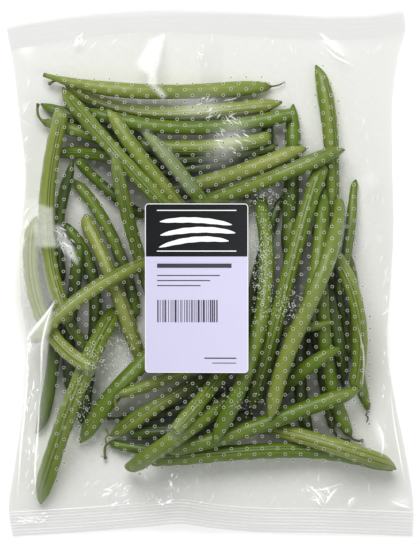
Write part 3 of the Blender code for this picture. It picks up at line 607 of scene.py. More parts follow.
class FilmGrid:
    # a square grid over the bag, in millimetres
    def __init__(self):
        self.cell = bagShape["cell"]
        wide, long = bagShape["halfWidth"] + 3, bagShape["halfLength"] + 3
        self.x = np.arange(-wide, wide, self.cell)
        self.y = np.arange(-long, long, self.cell)
        self.gx, self.gy = np.meshgrid(self.x, self.y, indexing="ij")
        side = np.minimum(self.gx - outlineAt("left", self.gy), outlineAt("right", self.gy) - self.gx)
        end = np.minimum(self.gy - outlineAt("bottom", self.gx), outlineAt("top", self.gx) - self.gy)
        self.side, self.end = side, end - bagShape["sealDepth"]
        self.sheet = self.drawn()
        reach = bagShape["billowReach"]
        rise = np.clip(self.side / reach, 0, 1) * np.clip(self.end / reach, 0, 1)
        self.sheet = self.sheet + bagShape["billow"] * rise * rise * (3 - 2 * rise)

    def pile(self):
        # how high the pods stand at each place, with the film's clearance
        top = np.zeros_like(self.gx)
        for line, width in podRows:
            for (px, py, pz), r in zip(line, width):
                reach = r + bagShape["clearance"]
                i0, i1 = np.searchsorted(self.x, (px - reach - 1.2, px + reach + 1.2))
                j0, j1 = np.searchsorted(self.y, (py - reach - 1.2, py + reach + 1.2))
                apart = np.hypot(self.gx[i0:i1, j0:j1] - px, self.gy[i0:i1, j0:j1] - py)
                apart = np.maximum(apart - 0.8, 0)
                crown = np.where(apart < reach, pz + np.sqrt(np.maximum(reach**2 - apart**2, 0)), 0)
                top[i0:i1, j0:j1] = np.maximum(top[i0:i1, j0:j1], crown)
        return top

    def drawn(self):
        # the front film's height: drawn tight over the pods, and stiff behind the label
        under = backSheet(self.gx, self.gy) + 0.4
        fixed = (self.side < 0) | (self.end < 0)
        rise = bagShape["edgeRise"] * np.clip(self.end / 20, 0, 1)
        held = np.where(self.end < 0, under, np.maximum(under, rise))
        least = np.maximum(self.pile(), under)
        sheet = np.where(fixed, held, np.maximum(least, 9.0))
        puff = bagShape["puff"] * self.cell**2 / 4
        for _ in range(bagShape["rounds"]):
            sheet = np.where(fixed, sheet, np.maximum(averaged(sheet) + puff, least))
        stiff = self.stiffened(sheet, least)
        for _ in range(60):
            loose = np.maximum(averaged(sheet), least)
            sheet = np.where(fixed | (stiff > 0), np.maximum(sheet, stiff), loose)
        return sheet

    def stiffened(self, sheet, least):
        # a shallow dome behind the label that clears the pods
        cx, cy = labelPlace["centre"]
        u, v = (self.gx - cx) / 30, (self.gy - cy) / 45
        behind = (np.abs(self.gx - cx) < labelPlace["width"] / 2 + 1.5)
        behind &= np.abs(self.gy - cy) < labelPlace["length"] / 2 + 1.5
        terms = np.stack([np.ones_like(u), u, v, u * u, u * v, v * v], -1)
        fit = np.linalg.lstsq(terms[behind], sheet[behind], rcond=None)[0]
        fit[3:] = np.minimum(fit[3:], 0.0) * 0.6
        dome = terms @ fit
        dome = dome + np.max(np.where(behind, least - dome, -100.0))
        return np.where(behind, dome, 0.0)

    def read(self, field, x, y):
        u = np.clip((x - self.x[0]) / self.cell, 0, len(self.x) - 1.001)
        v = np.clip((y - self.y[0]) / self.cell, 0, len(self.y) - 1.001)
        i, j = u.astype(int), v.astype(int)
        a, b = u - i, v - j
        near = field[i, j] * (1 - a) * (1 - b) + field[i + 1, j] * a * (1 - b)
        return near + field[i, j + 1] * (1 - a) * b + field[i + 1, j + 1] * a * b

    def height(self, x, y):
        return self.read(self.sheet, x, y)


labelPlace = {"centre": (-6.9, -8.3), "width": 53.3, "length": 87.3, "corner": 2.0, "thick": 0.16}
filmGrid = FilmGrid()
print("film drawn over the pods, up to", round(float(filmGrid.sheet.max()), 1))


# painted shade among the pods and on the back film behind them, set by how the pods crowd
crowdLook = {
    "rounds": 60,               # of blurring the heap
    "near": (0.66, 0.96),       # share covered by pods, from light gap to dark
    "depth": 14.0,              # mm below the heap's blurred top where a pod is darkest
    "darkest": 0.94,
    "flank": (0.2, 1.0),        # how far a pod's side turns from level, from light to dark
    "flankShade": 0.78,
    "heap": (7.0, 25.0),        # mm of blurred heap over a gap, from light to dark
    "lowHeap": 0.35,            # share of the dark where the heap is low
}


def smoothStep(values, low, high):
    t = np.clip((values - low) / (high - low), 0, 1)
    return t * t * (3 - 2 * t)


def blurred(field, rounds):
    for _ in range(rounds):
        field = averaged(field)
    return field


def shadePods():
    # painted shade: pods that lie low among others are darker there, and so are their sides as they turn
    # from level
    around = blurred(filmGrid.pile(), crowdLook["rounds"])
    for piece in podPieces:
        places = np.zeros(len(piece.data.vertices) * 3)
        normals = np.zeros_like(places)
        piece.data.vertices.foreach_get("co", places)
        piece.data.vertices.foreach_get("normal", normals)
        x, y, z = places.reshape(-1, 3).T / mm
        over = filmGrid.read(around, x, y) - z
        crowd = smoothStep(over, 0.5, crowdLook["depth"]) * crowdLook["darkest"]
        turned = 1.0 - normals.reshape(-1, 3)[:, 2]
        flank = smoothStep(turned, *crowdLook["flank"]) * crowdLook["flankShade"]
        addValues(piece, "podShadow", 1 - (1 - crowd) * (1 - flank))


shadePods()
# how much the pods cover each place, blurred, for the back film's painted shade
covered = blurred((filmGrid.pile() > 1.0).astype(float), crowdLook["rounds"])


filmLook = {
    "tint": (0.966, 0.966, 0.960),
    "backTint": (0.872, 0.872, 0.867),
    "sealTint": (0.800, 0.800, 0.796),
    "paintedShadeTint": (0.45, 0.46, 0.42),     # painted shade behind crowded pods
    "body": (0.93, 0.935, 0.92),
    # painted light: how strongly the film glows by itself
    "paintedGlow": 0.20,
    "veil": 0.002,              # share of light that the film sends back, face on
    "edgeVeil": 0.30,           # and more of it seen edge on
    "edgePower": 2.6,
    "grain": 420.0,
    "grainShare": 0.6,
    "roughness": 0.26,
    "metallic": 0.1,
}

# soft milky places on the front, partly painted sheen: middle, reach across and along, turn, strength
filmPatches = (
    ((-6.0, 86.0), (12.0, 5.0), 0.0, 0.20),
    ((63.0, 119.0), (2.4, 9.0), 46.0, 0.30),
    ((83.5, 48.0), (4.0, 5.0), 0.0, 0.20),
    ((88.0, -84.0), (1.8, 7.0), 16.0, 0.34),
    ((99.0, -120.0), (5.0, 3.0), 0.0, 0.30),
    ((-97.0, 118.0), (4.0, 8.0), 20.0, 0.14),
    ((8.0, 66.0), (7.0, 12.0), -38.0, 0.18),
    ((-24.0, 63.0), (2.6, 9.0), 48.0, 0.10),
)

# whitened folds with firm edges, partly painted reflection: strength, softness of the edge, corners
filmFolds = (
    (0.40, 1.5, ((-23.8, 123.8), (-31.3, 120.9), (-34.3, 114.9), (-37.5, 109.4), (-36.7, 106.0),
                 (-32.3, 102.5), (-31.8, 97.5), (-24.3, 90.0), (-22.8, 91.5), (-27.8, 97.0),
                 (-27.8, 103.5), (-25.8, 109.9), (-24.8, 118.4))),
    (0.07, 1.4, ((-36.5, 73.5), (-31.5, 74.0), (-12.0, 51.0), (-6.0, 43.0), (-11.0, 40.0),
                 (-27.0, 60.5))),
    (0.34, 1.5, ((-80.1, -14.2), (-82.2, -26.0), (-84.4, -40.0), (-95.5, -42.0), (-95.0, -36.0),
                 (-90.5, -27.6), (-85.0, -21.0))),
    (0.15, 3.4, ((-84.6, -36.0), (-86.0, -60.0), (-87.0, -90.0), (-87.0, -121.0), (-99.5, -121.0),
                 (-97.4, -90.0), (-95.4, -60.0), (-95.0, -36.0))),
    (0.19, 1.6, ((-99.5, 38.0), (-89.0, 38.0), (-87.4, 12.0), (-83.6, -5.0), (-80.5, -14.0),
                 (-86.0, -23.0), (-92.0, -35.0), (-97.0, -38.0), (-99.8, 0.0))),
    (0.30, 1.2, ((-91.5, 36.0), (-81.6, 33.0), (-80.6, 20.0), (-78.6, 13.0), (-91.0, 12.8))),
    (0.30, 1.2, ((-80.6, 24.6), (-76.8, 23.4), (-70.4, 11.4), (-68.4, 4.4), (-72.2, 7.6), (-77.2, 13.2),
                 (-79.0, 17.0))),
    (0.50, 0.8, ((72.0, -122.4), (73.6, -117.8), (75.6, -117.4), (74.0, -122.2))),
)


def foldShare(x, y, corners, soft):
    # 1 inside the corners and 0 outside, over a soft edge
    inside = np.zeros(x.shape, bool)
    nearest = np.full(x.shape, 1000.0)
    for (ax, ay), (bx, by) in zip(corners, corners[1:] + corners[:1]):
        crosses = (ay > y) != (by > y)
        slope = np.where(crosses, (bx - ax) * (y - ay) / ((by - ay) or 1.0) + ax, 0.0)
        inside ^= crosses & (x < slope)
        t = np.clip(((x - ax) * (bx - ax) + (y - ay) * (by - ay)) / ((bx - ax) ** 2 + (by - ay) ** 2), 0, 1)
        nearest = np.minimum(nearest, np.hypot(x - ax - t * (bx - ax), y - ay - t * (by - ay)))
    return smoothStep(np.where(inside, nearest, -nearest), -soft, soft)


def patchHazeAndSheen(x, y):
    haze = np.zeros_like(x)
    for (cx, cy), (wide, long), turn, strength in filmPatches:
        c, s = math.cos(math.radians(turn)), math.sin(math.radians(turn))
        u, v = (x - cx) * c + (y - cy) * s, (y - cy) * c - (x - cx) * s
        haze = np.maximum(haze, strength * np.exp(-((u / wide) ** 2) - (v / long) ** 2))
    for strength, soft, corners in filmFolds:
        haze = np.maximum(haze, strength * foldShare(x, y, corners, soft))
    return haze


def filmMaterial(name, veil, roughness, tint, paintedGlow):
    # clear film: see-through, with a thin gloss, and white where the haze-and-sheen attribute says, which is
    # partly painted sheen
    look = filmLook
    material, tree, shader = newMaterial(name, look["body"], roughness, look["metallic"])
    # painted light: the film gives off white light of its own
    shader.inputs["Emission Color"].default_value = (1.0, 1.0, 1.0, 1.0)
    shader.inputs["Emission Strength"].default_value = paintedGlow
    place = objectPlace(tree)
    grain = addNode(tree, "ShaderNodeTexNoise")
    grain.inputs["Scale"].default_value = look["grain"]
    grain.inputs["Detail"].default_value = 3.0
    tree.links.new(place, grain.inputs["Vector"])
    uneven = mathNode(tree, "ADD", aroundMiddle(tree, grain.outputs["Fac"], look["grainShare"]), 1.0)
    facing = addNode(tree, "ShaderNodeLayerWeight")
    facing.inputs["Blend"].default_value = 0.3
    steep = mathNode(tree, "POWER", facing.outputs["Facing"], look["edgePower"])
    share = mathNode(tree, "ADD", mathNode(tree, "MULTIPLY", steep, look["edgeVeil"]), veil)
    share = mathNode(tree, "ADD", share, readAttribute(tree, "filmHazeAndSheen"))
    share = mathNode(tree, "MULTIPLY", share, uneven, clamp=True)
    clear = addNode(tree, "ShaderNodeBsdfTransparent")
    # painted shade: the see-through part darkens where the filmShade attribute says
    shade = mixColours(tree, readAttribute(tree, "filmShade"), tint, look["paintedShadeTint"])
    tree.links.new(shade, clear.inputs["Color"])
    mixed = addNode(tree, "ShaderNodeMixShader")
    tree.links.new(share, mixed.inputs[0])
    tree.links.new(clear.outputs[0], mixed.inputs[1])
    tree.links.new(shader.outputs[0], mixed.inputs[2])
    tree.links.new(mixed.outputs[0], tree.nodes["Material Output"].inputs["Surface"])
    addBump(tree, shader, addMottle(tree, place, 150.0, 0.3), 0.3, 0.0006)
    return material


def bagPlaces(across, along):
    # plan places of a sheet between the side edges and the two seals
    u, v = np.meshgrid(np.linspace(0, 1, across), np.linspace(0, 1, along), indexing="ij")
    x, y = (2 * u - 1) * 100.0, (2 * v - 1) * 125.0
    depth = bagShape["sealDepth"]
    for _ in range(4):
        low, high = outlineAt("bottom", x) + depth, outlineAt("top", x) - depth
        y = low + (high - low) * v
        left, right = outlineAt("left", y), outlineAt("right", y)
        x = left + (right - left) * u
    return x, y, u


def wrinkles(x, y):
    # shallow creases of the slack film, in mm
    fine = np.sin(x / 3.1 + 2.2 * np.sin(y / 9.0)) * np.sin(y / 4.3 + 1.7 * np.sin(x / 7.0))
    broad = np.sin(x / 11.0 + y / 17.0 + 1.5 * np.sin(y / 21.0))
    return 0.10 * fine + 0.22 * broad


def buildFilm(material, backMaterial):
    x, y, u = bagPlaces(bagShape["across"], bagShape["along"])
    z = filmGrid.height(x, y)
    slack = np.clip((filmGrid.read(filmGrid.side, x, y) - 1.0) / 6.0, 0, 1)
    slack = slack * np.clip((filmGrid.read(filmGrid.end, x, y) - 1.0) / 6.0, 0, 1)
    z = z + slack * (0.32 + wrinkles(x, y))
    # painted sheen: the film is whiter where it bends
    bend = np.abs(averaged(z) - z)
    bend[[0, -1], :] = 0.0
    bend[:, [0, -1]] = 0.0
    front = sheetPiece("filmFront", x, y, z, material)
    addValues(front, "filmHazeAndSheen", patchHazeAndSheen(x, y) + np.clip(bend * 0.25, 0, 0.12))
    x, y, u = bagPlaces(100, 130)
    rim = (u <= 0) | (u >= 1)
    z = np.where(rim, filmGrid.height(x, y), backSheet(x, y) + 0.12)
    back = sheetPiece("filmBack", x, y, z, backMaterial)
    addValues(back, "filmHazeAndSheen", np.full(x.shape, 0.01))
    # painted shade on the back film, darker where the pods crowd round and the heap stands high
    crowd = smoothStep(filmGrid.read(covered, x, y), *crowdLook["near"])
    heaped = blurred(filmGrid.pile(), crowdLook["rounds"])
    low = crowdLook["lowHeap"]
    crowd *= low + (1 - low) * smoothStep(filmGrid.read(heaped, x, y), *crowdLook["heap"])
    addValues(back, "filmShade", crowd * crowdLook["darkest"])
    return front, back


sealLook = {
    "top": {"ribs": 5, "depth": 0.05, "haze": 0.02, "swing": 0.03},
    "bottom": {"ribs": 8, "depth": 0.16, "haze": 0.03, "swing": 0.30},
    "across": 200, "along": 73,
}


def buildSeal(end, material):
    look = sealLook[end]
    sign = 1 if end == "top" else -1
    across, along = np.linspace(0, 1, sealLook["across"]), np.linspace(0, 1, sealLook["along"])
    u, v = np.meshgrid(across, along, indexing="ij")
    x = (2 * u - 1) * 102.0
    for _ in range(4):
        y = outlineAt(end, x) - sign * bagShape["sealDepth"] * (1 - v)
        left, right = outlineAt("left", y), outlineAt("right", y)
        x = left + (right - left) * u
    ribs = np.sin(v * look["ribs"] * 2 * math.pi)
    flat = np.clip(np.minimum(v, 1 - v) / 0.08, 0, 1)
    wave = 0.22 * np.sin(x / 9.0 + 1.7 * v) + 0.12 * np.sin(x / 3.3 + 2.0)
    z = backSheet(x, y) + 0.4 + flat * (look["depth"] * ribs + 0.3) + v * wave
    faces = gridFaces(*x.shape)
    if sign < 0:
        faces = [face[::-1] for face in faces]
    piece = meshPiece(end + "Seal", np.stack([x, y, z], -1).reshape(-1, 3), faces, material)
    streak = 0.5 + 0.5 * np.sin(x / 13.0 + 3.0 * np.sin(v * 9.0))
    swing = look["swing"] * np.clip(ribs, 0, 1) ** 3 * (0.4 + 0.6 * streak)
    addValues(piece, "filmHazeAndSheen", look["haze"] + swing)
    return piece


# single strokes of light on creases: strength, width, points
strokes = (
    (0.55, 1.4, ((57.0, 125.0), (62.0, 120.0), (70.0, 112.5))),
    (0.35, 0.8, ((60.0, 117.0), (66.0, 112.0), (74.0, 108.0))),
    (0.60, 1.1, ((-80.0, -15.0), (-85.0, -22.5), (-91.0, -30.0), (-95.5, -36.0))),
    (0.55, 0.9, ((-80.0, -15.0), (-82.5, -21.0), (-86.0, -34.0), (-88.0, -60.0))),
    (0.50, 0.8, ((-88.0, -60.0), (-89.6, -84.0), (-91.0, -108.0), (-90.0, -121.0))),
    (0.45, 0.9, ((-95.0, -38.0), (-95.8, -62.0), (-98.6, -92.0), (-100.5, -118.0))),
    (0.40, 0.9, ((86.4, -78.0), (89.0, -83.0), (90.0, -90.0), (88.8, -96.0))),
    (0.35, 0.7, ((94.0, -60.0), (95.6, -76.0), (99.0, -96.0), (102.0, -112.0))),
    (0.60, 0.8, ((50.0, -110.5), (56.0, -115.0), (60.0, -121.0))),
    (0.70, 0.9, ((60.0, -121.0), (63.0, -116.0), (66.5, -112.0))),
    (0.50, 0.6, ((52.0, -113.5), (59.0, -113.0), (66.0, -110.5))),
    (0.60, 0.8, ((72.0, -122.0), (73.0, -119.0), (75.4, -117.6))),
    (0.50, 0.8, ((94.0, -119.0), (99.0, -121.5), (105.0, -123.0))),
    (0.30, 0.7, ((76.0, -26.0), (79.6, -44.0), (79.0, -60.0))),
)

# fields of short seeded strokes of painted light: middle, reach, count, direction, strength
strokeFields = (
    ((12.0, 69.0), (8.0, 11.0), 24, -38.0, 0.38),
    ((-75.0, 17.0), (4.5, 8.0), 16, -50.0, 0.38),
    ((-68.0, 120.0), (3.0, 5.0), 12, 60.0, 0.30),
    ((-3.0, 112.0), (3.0, 6.0), 8, -60.0, 0.35),
    ((-48.0, -116.0), (8.0, 6.5), 20, 35.0, 0.60),
    ((-19.0, -111.0), (2.4, 6.0), 8, 80.0, 0.55),
    ((-23.5, -119.5), (3.5, 1.6), 6, 10.0, 0.60),
    ((56.0, -116.0), (7.0, 5.0), 14, -50.0, 0.65),
    ((-93.0, -75.0), (3.6, 42.0), 34, 84.0, 0.55),
    ((92.0, -50.0), (2.0, 60.0), 22, 86.0, 0.30),
    ((-96.0, 60.0), (2.4, 50.0), 18, 84.0, 0.30),
    ((0.0, 117.0), (90.0, 6.0), 26, 70.0, 0.22),
    ((10.0, -113.0), (85.0, 8.0), 34, 65.0, 0.24),
    ((-92.0, -128.5), (8.0, 3.5), 14, 5.0, 0.55),
    ((83.0, 40.0), (8.0, 50.0), 18, 75.0, 0.20),
    ((5.0, 86.0), (14.0, 6.0), 14, 20.0, 0.35),
)


def allStrokes():
    yield from strokes
    for number, ((cx, cy), (wide, long), count, direction, strength) in enumerate(strokeFields):
        chance = random.Random(70 + number)
        for _ in range(count):
            spread, around = math.sqrt(chance.random()), chance.uniform(0, 2 * math.pi)
            x, y = cx + wide * spread * math.cos(around), cy + long * spread * math.sin(around)
            angle = math.radians(direction + chance.gauss(0, 22))
            reach = chance.uniform(0.8, 3.2)
            dx, dy = reach * math.cos(angle), reach * math.sin(angle)
            bow = chance.uniform(-0.3, 0.3)
            middle = (x - bow * dy, y + bow * dx)
            yield strength * chance.uniform(0.5, 1.2), chance.uniform(0.25, 0.6), (
                (x - dx, y - dy), middle, (x + dx, y + dy))


# painted glints: white, glowing strips laid over the film
def buildStrokes(material):
    points, faces, values = [], [], []
    for strength, width, path in allStrokes():
        path = np.array(path)
        run = runAlong(path)
        steps = max(6, int(run[-1] / 1.2))
        at = np.linspace(0, run[-1], steps)
        line = smoothCurve(run, path, at)
        heading = np.gradient(line, at, axis=0)
        heading /= np.linalg.norm(heading, axis=1)[:, None]
        side = np.column_stack([-heading[:, 1], heading[:, 0]])
        taper = np.sin(np.linspace(0.12, math.pi - 0.12, steps)) ** 0.7
        start = len(points)
        for across in (-1, 0, 1):
            place = line + side * (across * width * taper)[:, None]
            x, y = place.T
            outside = (filmGrid.read(filmGrid.end, x, y) < 0) * 0.5
            z = filmGrid.height(x, y) + 0.75 + outside
            points.extend(np.column_stack([x, y, z]))
            values.extend(taper * strength * (0.0 if across else 1.0))
        faces.extend(gridFaces(3, steps, start))
    piece = meshPiece("filmCreaseGlints", points, faces, material)
    addValues(piece, "filmHazeAndSheen", values)
    return piece


ventLook = {
    "columns": 42, "rows": 41, "columnPitch": 3.905, "rowPitch": 6.21,
    "firstColumn": -79.4, "rowStart": -1.84,
    "widerAfter": 16, "wider": 0.08,        # columns past this one stand wider apart
    "climb": 0.0045,                        # rows rise to the right
    "tiltBefore": -20.0, "tilt": 0.02,      # and fall at the left
    "drift": 0.15,
    "outer": 0.88, "inner": 0.63, "hole": 0.48, "sides": 12,
    "stand": 0.7, "rise": 0.10, "holeStand": 0.66,      # mm above the film
    "onPods": 0.52, "offPods": 0.20,                    # how solid a rim looks
    "dark": 0.55,                                       # and how dark the painted shade in the hole
    "fromSeal": 2.5, "fromLabel": 1.0,
}


def underLabel(x, y, margin):
    cx, cy = labelPlace["centre"]
    inWidth = abs(x - cx) < labelPlace["width"] / 2 + margin
    return inWidth and abs(y - cy) < labelPlace["length"] / 2 + margin


def ventPlaces():
    # staggered columns of pinpoint holes, clear of the seals and the label
    look = ventLook
    for column in range(look["columns"]):
        for row in range(look["rows"]):
            x = look["firstColumn"] + column * look["columnPitch"]
            x += look["wider"] * max(0, column - look["widerAfter"])
            y = look["rowStart"] + (row - look["rows"] // 2 + 0.5 * (column % 2)) * look["rowPitch"]
            y += look["climb"] * (x - look["firstColumn"])
            y -= look["tilt"] * max(0.0, look["tiltBefore"] - x)
            x, y = x + look["drift"] * math.sin(y / 19.0 + x / 40.0), y + look["drift"] * math.sin(x / 15.0)
            fromSeal = filmGrid.read(filmGrid.end, np.array(x), np.array(y))
            if fromSeal >= look["fromSeal"] and not underLabel(x, y, look["fromLabel"]):
                yield x, y


def filmRing(x, y, radius, sides, stand):
    turn = np.arange(sides) / sides * 2 * math.pi
    ringX, ringY = x + radius * np.cos(turn), y + radius * np.sin(turn)
    return np.stack([ringX, ringY, filmGrid.height(ringX, ringY) + stand], -1)


def buildVents():
    # a raised rim round each hole, and a painted shade in the hole where a pod is behind it
    look = ventLook
    points, faces, holes, holeFaces, strengths = [], [], [], [], []
    sides, stand = look["sides"], look["stand"]
    middle = (look["outer"] + look["inner"]) / 2
    pods = filmGrid.pile()
    for x, y in ventPlaces():
        start = len(points)
        overPods = filmGrid.read(pods, np.array(x), np.array(y)) > 1.0
        strengths.extend([look["onPods"] if overPods else look["offPods"]] * (3 * sides))
        for radius, rise in ((look["outer"], 0.0), (middle, look["rise"]), (look["inner"], 0.0)):
            points.extend(filmRing(x, y, radius, sides, rise + stand))
        for a, c, d, b in tubeFaces(3, sides):
            faces.append((start + a, start + b, start + d, start + c))
        if overPods:
            holeFaces.append(tuple(range(len(holes), len(holes) + sides)))
            holes.extend(filmRing(x, y, look["hole"], sides, look["holeStand"]))
    rimLook, tree, shader = mottledMaterial(
        "ventRim", (0.80, 0.84, 0.76), 0.4, 60.0, (0.66, 0.70, 0.60), (0.95, 0.96, 0.93))
    tree.links.new(readAttribute(tree, "ventStrength"), shader.inputs["Alpha"])
    rims = meshPiece("ventRims", points, faces, rimLook)
    addValues(rims, "ventStrength", strengths)
    holeShadeLook, tree, shader = mottledMaterial(
        "ventHoleShade", (0.020, 0.028, 0.008), 0.6, 60.0, (0.010, 0.014, 0.004), (0.03, 0.04, 0.012))
    shader.inputs["Alpha"].default_value = look["dark"]
    return rims, meshPiece("ventHoleShades", holes, holeFaces, holeShadeLook, False)


# fine drops on the inside of the film: middle, reach, count
dropFields = (
    ((27.0, 2.0), (5.5, 30.0), 420), ((40.0, -18.0), (7.0, 9.0), 130), ((-58.0, -46.0), (11.0, 11.0), 170),
    ((-66.0, -68.0), (7.0, 22.0), 170), ((30.0, 38.0), (12.0, 6.0), 90), ((-45.0, -38.0), (8.0, 8.0), 90),
    ((10.0, -66.0), (26.0, 9.0), 110),
)


def buildDrops():
    points, faces = [], []
    for number, ((cx, cy), (wide, long), count) in enumerate(dropFields):
        chance = random.Random(300 + number)
        for _ in range(count):
            x, y = chance.gauss(cx, wide * 0.5), chance.gauss(cy, long * 0.5)
            if underLabel(x, y, 0.5):
                continue
            radius = chance.uniform(0.14, 0.36)
            start = len(points)
            points.extend(filmRing(x, y, radius, 6, 0.6))
            points.append((x, y, float(filmGrid.height(np.array(x), np.array(y))) + 0.65 + radius * 0.5))
            faces.extend((start + n, start + (n + 1) % 6, start + 6) for n in range(6))
    material, tree, shader = mottledMaterial(
        "filmDrops", (0.74, 0.82, 0.66), 0.18, 300.0, (0.52, 0.62, 0.42), (0.90, 0.94, 0.86))
    shader.inputs["Alpha"].default_value = 0.45
    return meshPiece("filmDrops", points, faces, material)


def buildBackSeam(material):
    # the folded fin that closes the tube down its back
    x, y = np.meshgrid(np.linspace(-5.0, 7.0, 13), np.linspace(-119.0, 120.0, 90), indexing="ij")
    ridges = 0.05 * np.sin(x * 2.6)
    z = backSheet(x, y) - 0.12 + ridges
    piece = sheetPiece("backSeam", x, y, z, material)
    addValues(piece, "filmHazeAndSheen", np.where(np.abs(x - 1) > 5.5, 0.03, 0.0))
    return piece


# each film finish, with its painted glow last
clearFilm = filmMaterial("film", filmLook["veil"], filmLook["roughness"], filmLook["tint"], filmLook["paintedGlow"])
backFilm = filmMaterial("backFilm", 0.005, filmLook["roughness"], filmLook["backTint"], 0.0)
sealFilm = filmMaterial("sealFilm", 0.02, 0.28, filmLook["sealTint"], filmLook["paintedGlow"])
seamFilm = filmMaterial("seamFilm", 0.0, 0.3, (0.985, 0.985, 0.984), 0.0)
glintFilm = filmMaterial("creaseGlintFilm", 0.0, 0.3, (0.995, 0.995, 0.995), 0.75)
front, back = buildFilm(clearFilm, backFilm)
bagPieces = [
    front, back, buildSeal("top", sealFilm), buildSeal("bottom", sealFilm), buildStrokes(glintFilm),
    *buildVents(), buildDrops(), buildBackSeam(seamFilm),
]
for piece in bagPieces:
    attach(piece, "root")
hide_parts("bag")
print("bag made")


labelLook = {
    "rim": (0.80, 0.79, 0.82),
    "field": (0.575, 0.555, 0.735),
    "band": (0.004, 0.005, 0.006),
    "ink": (0.045, 0.042, 0.055),
    "white": (0.86, 0.86, 0.86),
    "bandDepth": 27.4,
}


def labelHeight(u, v):
    cx, cy = labelPlace["centre"]
    return filmGrid.height(cx + u, cy + v) + 0.85 + labelPlace["thick"]


def printMaterial(name, colour, spread, roughness):
    # an even print with a faint unevenness
    material, tree, shader = newMaterial(name, colour, roughness)
    tone = addMottle(tree, objectPlace(tree), 90.0, 0.4)
    darker = tuple(c * (1 - spread) for c in colour)
    lighter = tuple(min(1.0, c * (1 + spread)) for c in colour)
    tree.links.new(mixColours(tree, tone, darker, lighter), shader.inputs["Base Color"])
    rough = mathNode(tree, "ADD", mathNode(tree, "MULTIPLY", tone, 0.15), roughness - 0.07)
    tree.links.new(rough, shader.inputs["Roughness"])
    addBump(tree, shader, tone, 0.12, 0.0002)
    shader.inputs["Specular IOR Level"].default_value = 0.2
    return material


def roundedSheet(u, v, corner):
    # draws the outer rows of a square sheet in at its four corners
    halfU, halfV = np.abs(u).max(), np.abs(v).max()
    overU, overV = np.abs(u) - (halfU - corner), np.abs(v) - (halfV - corner)
    both = (overU > 0) & (overV > 0)
    reach = np.hypot(np.maximum(overU, 0), np.maximum(overV, 0))
    shrink = np.where(both, np.maximum(overU, overV) / np.maximum(reach, 1e-6), 1.0)
    newU = np.where(both, np.sign(u) * (halfU - corner + overU * shrink), u)
    newV = np.where(both, np.sign(v) * (halfV - corner + overV * shrink), v)
    return newU, newV


def edgedStations(half, count):
    # places across a sheet, closer together at its edges
    edge = np.array([0.0, 0.35, 0.8, 1.4, 2.1])
    inner = np.linspace(edge[-1], 2 * half - edge[-1], count)
    return np.unique(np.concatenate([edge, inner, 2 * half - edge])) - half


def labelSheet(name, box, corner, rise, material):
    # a thin printed sheet on the label, box = left, right, bottom, top from the label's middle
    left, right, bottom, top = box
    halfU, halfV = (right - left) / 2, (top - bottom) / 2
    u, v = np.meshgrid(edgedStations(halfU, 34), edgedStations(halfV, 50), indexing="ij")
    u, v = roundedSheet(u, v, corner)
    u, v = u + (left + right) / 2, v + (bottom + top) / 2
    cx, cy = labelPlace["centre"]
    points = np.stack([cx + u, cy + v, labelHeight(u, v) + rise], -1)
    piece = meshPiece(name, points.reshape(-1, 3), gridFaces(*u.shape), material)
    return piece, points


def addSkirt(piece, points, drop):
    # turns the sheet's edge down to the film
    loop = np.concatenate([points[:, 0], points[-1, 1:], points[-2::-1, -1], points[0, -2:0:-1]])
    low = loop - (0, 0, drop)
    count = len(loop)
    faces = [(k, count + k, count + (k + 1) % count, (k + 1) % count) for k in range(count)]
    return meshPiece(piece.name + "Edge", np.vstack([loop, low]), faces, piece.data.materials[0], False)


def printShapes(name, shapes, rise, material):
    # flat printed shapes, each a strip between two edges given at the same stations
    points, faces = [], []
    cx, cy = labelPlace["centre"]
    for lower, upper in shapes:
        start = len(points)
        for u, v in (*lower, *upper):
            height = float(labelHeight(np.array(u), np.array(v)))
            points.append((cx + u, cy + v, height + rise))
        count = len(lower)
        faces.extend((start + k, start + k + 1, start + count + k + 1, start + count + k)
                     for k in range(count - 1))
    return meshPiece(name, points, faces, material, False)


def ruleShape(left, right, bottom, top):
    stations = np.linspace(left, right, max(2, int((right - left) / 2) + 1))
    return [(u, bottom) for u in stations], [(u, top) for u in stations]


def podShapeInk(middle, reach, thick, bow, tilt):
    # a plain curved pod with a thin tail
    lower, upper = [], []
    for t in np.linspace(-1, 1, 33):
        half = thick * (1 - abs(t) ** 3.2) ** 0.7 * (1 + 0.07 * math.cos(t * 16)) + 0.12
        u = middle[0] + reach * t
        v = middle[1] + tilt * t + bow * (1 - t * t)
        lower.append((u, v - half))
        upper.append((u, v + half))
    return lower, upper


def barShapes():
    # bars of seeded widths, with nothing to read in them
    chance = random.Random(5)
    shapes, u = [], -20.3
    while u < 11.0:
        wide = chance.choice((0.33, 0.33, 0.66, 1.0))
        shapes.append(ruleShape(u, u + wide, -17.6, -6.1))
        u += wide + chance.choice((0.33, 0.66, 0.66, 1.0))
    return shapes


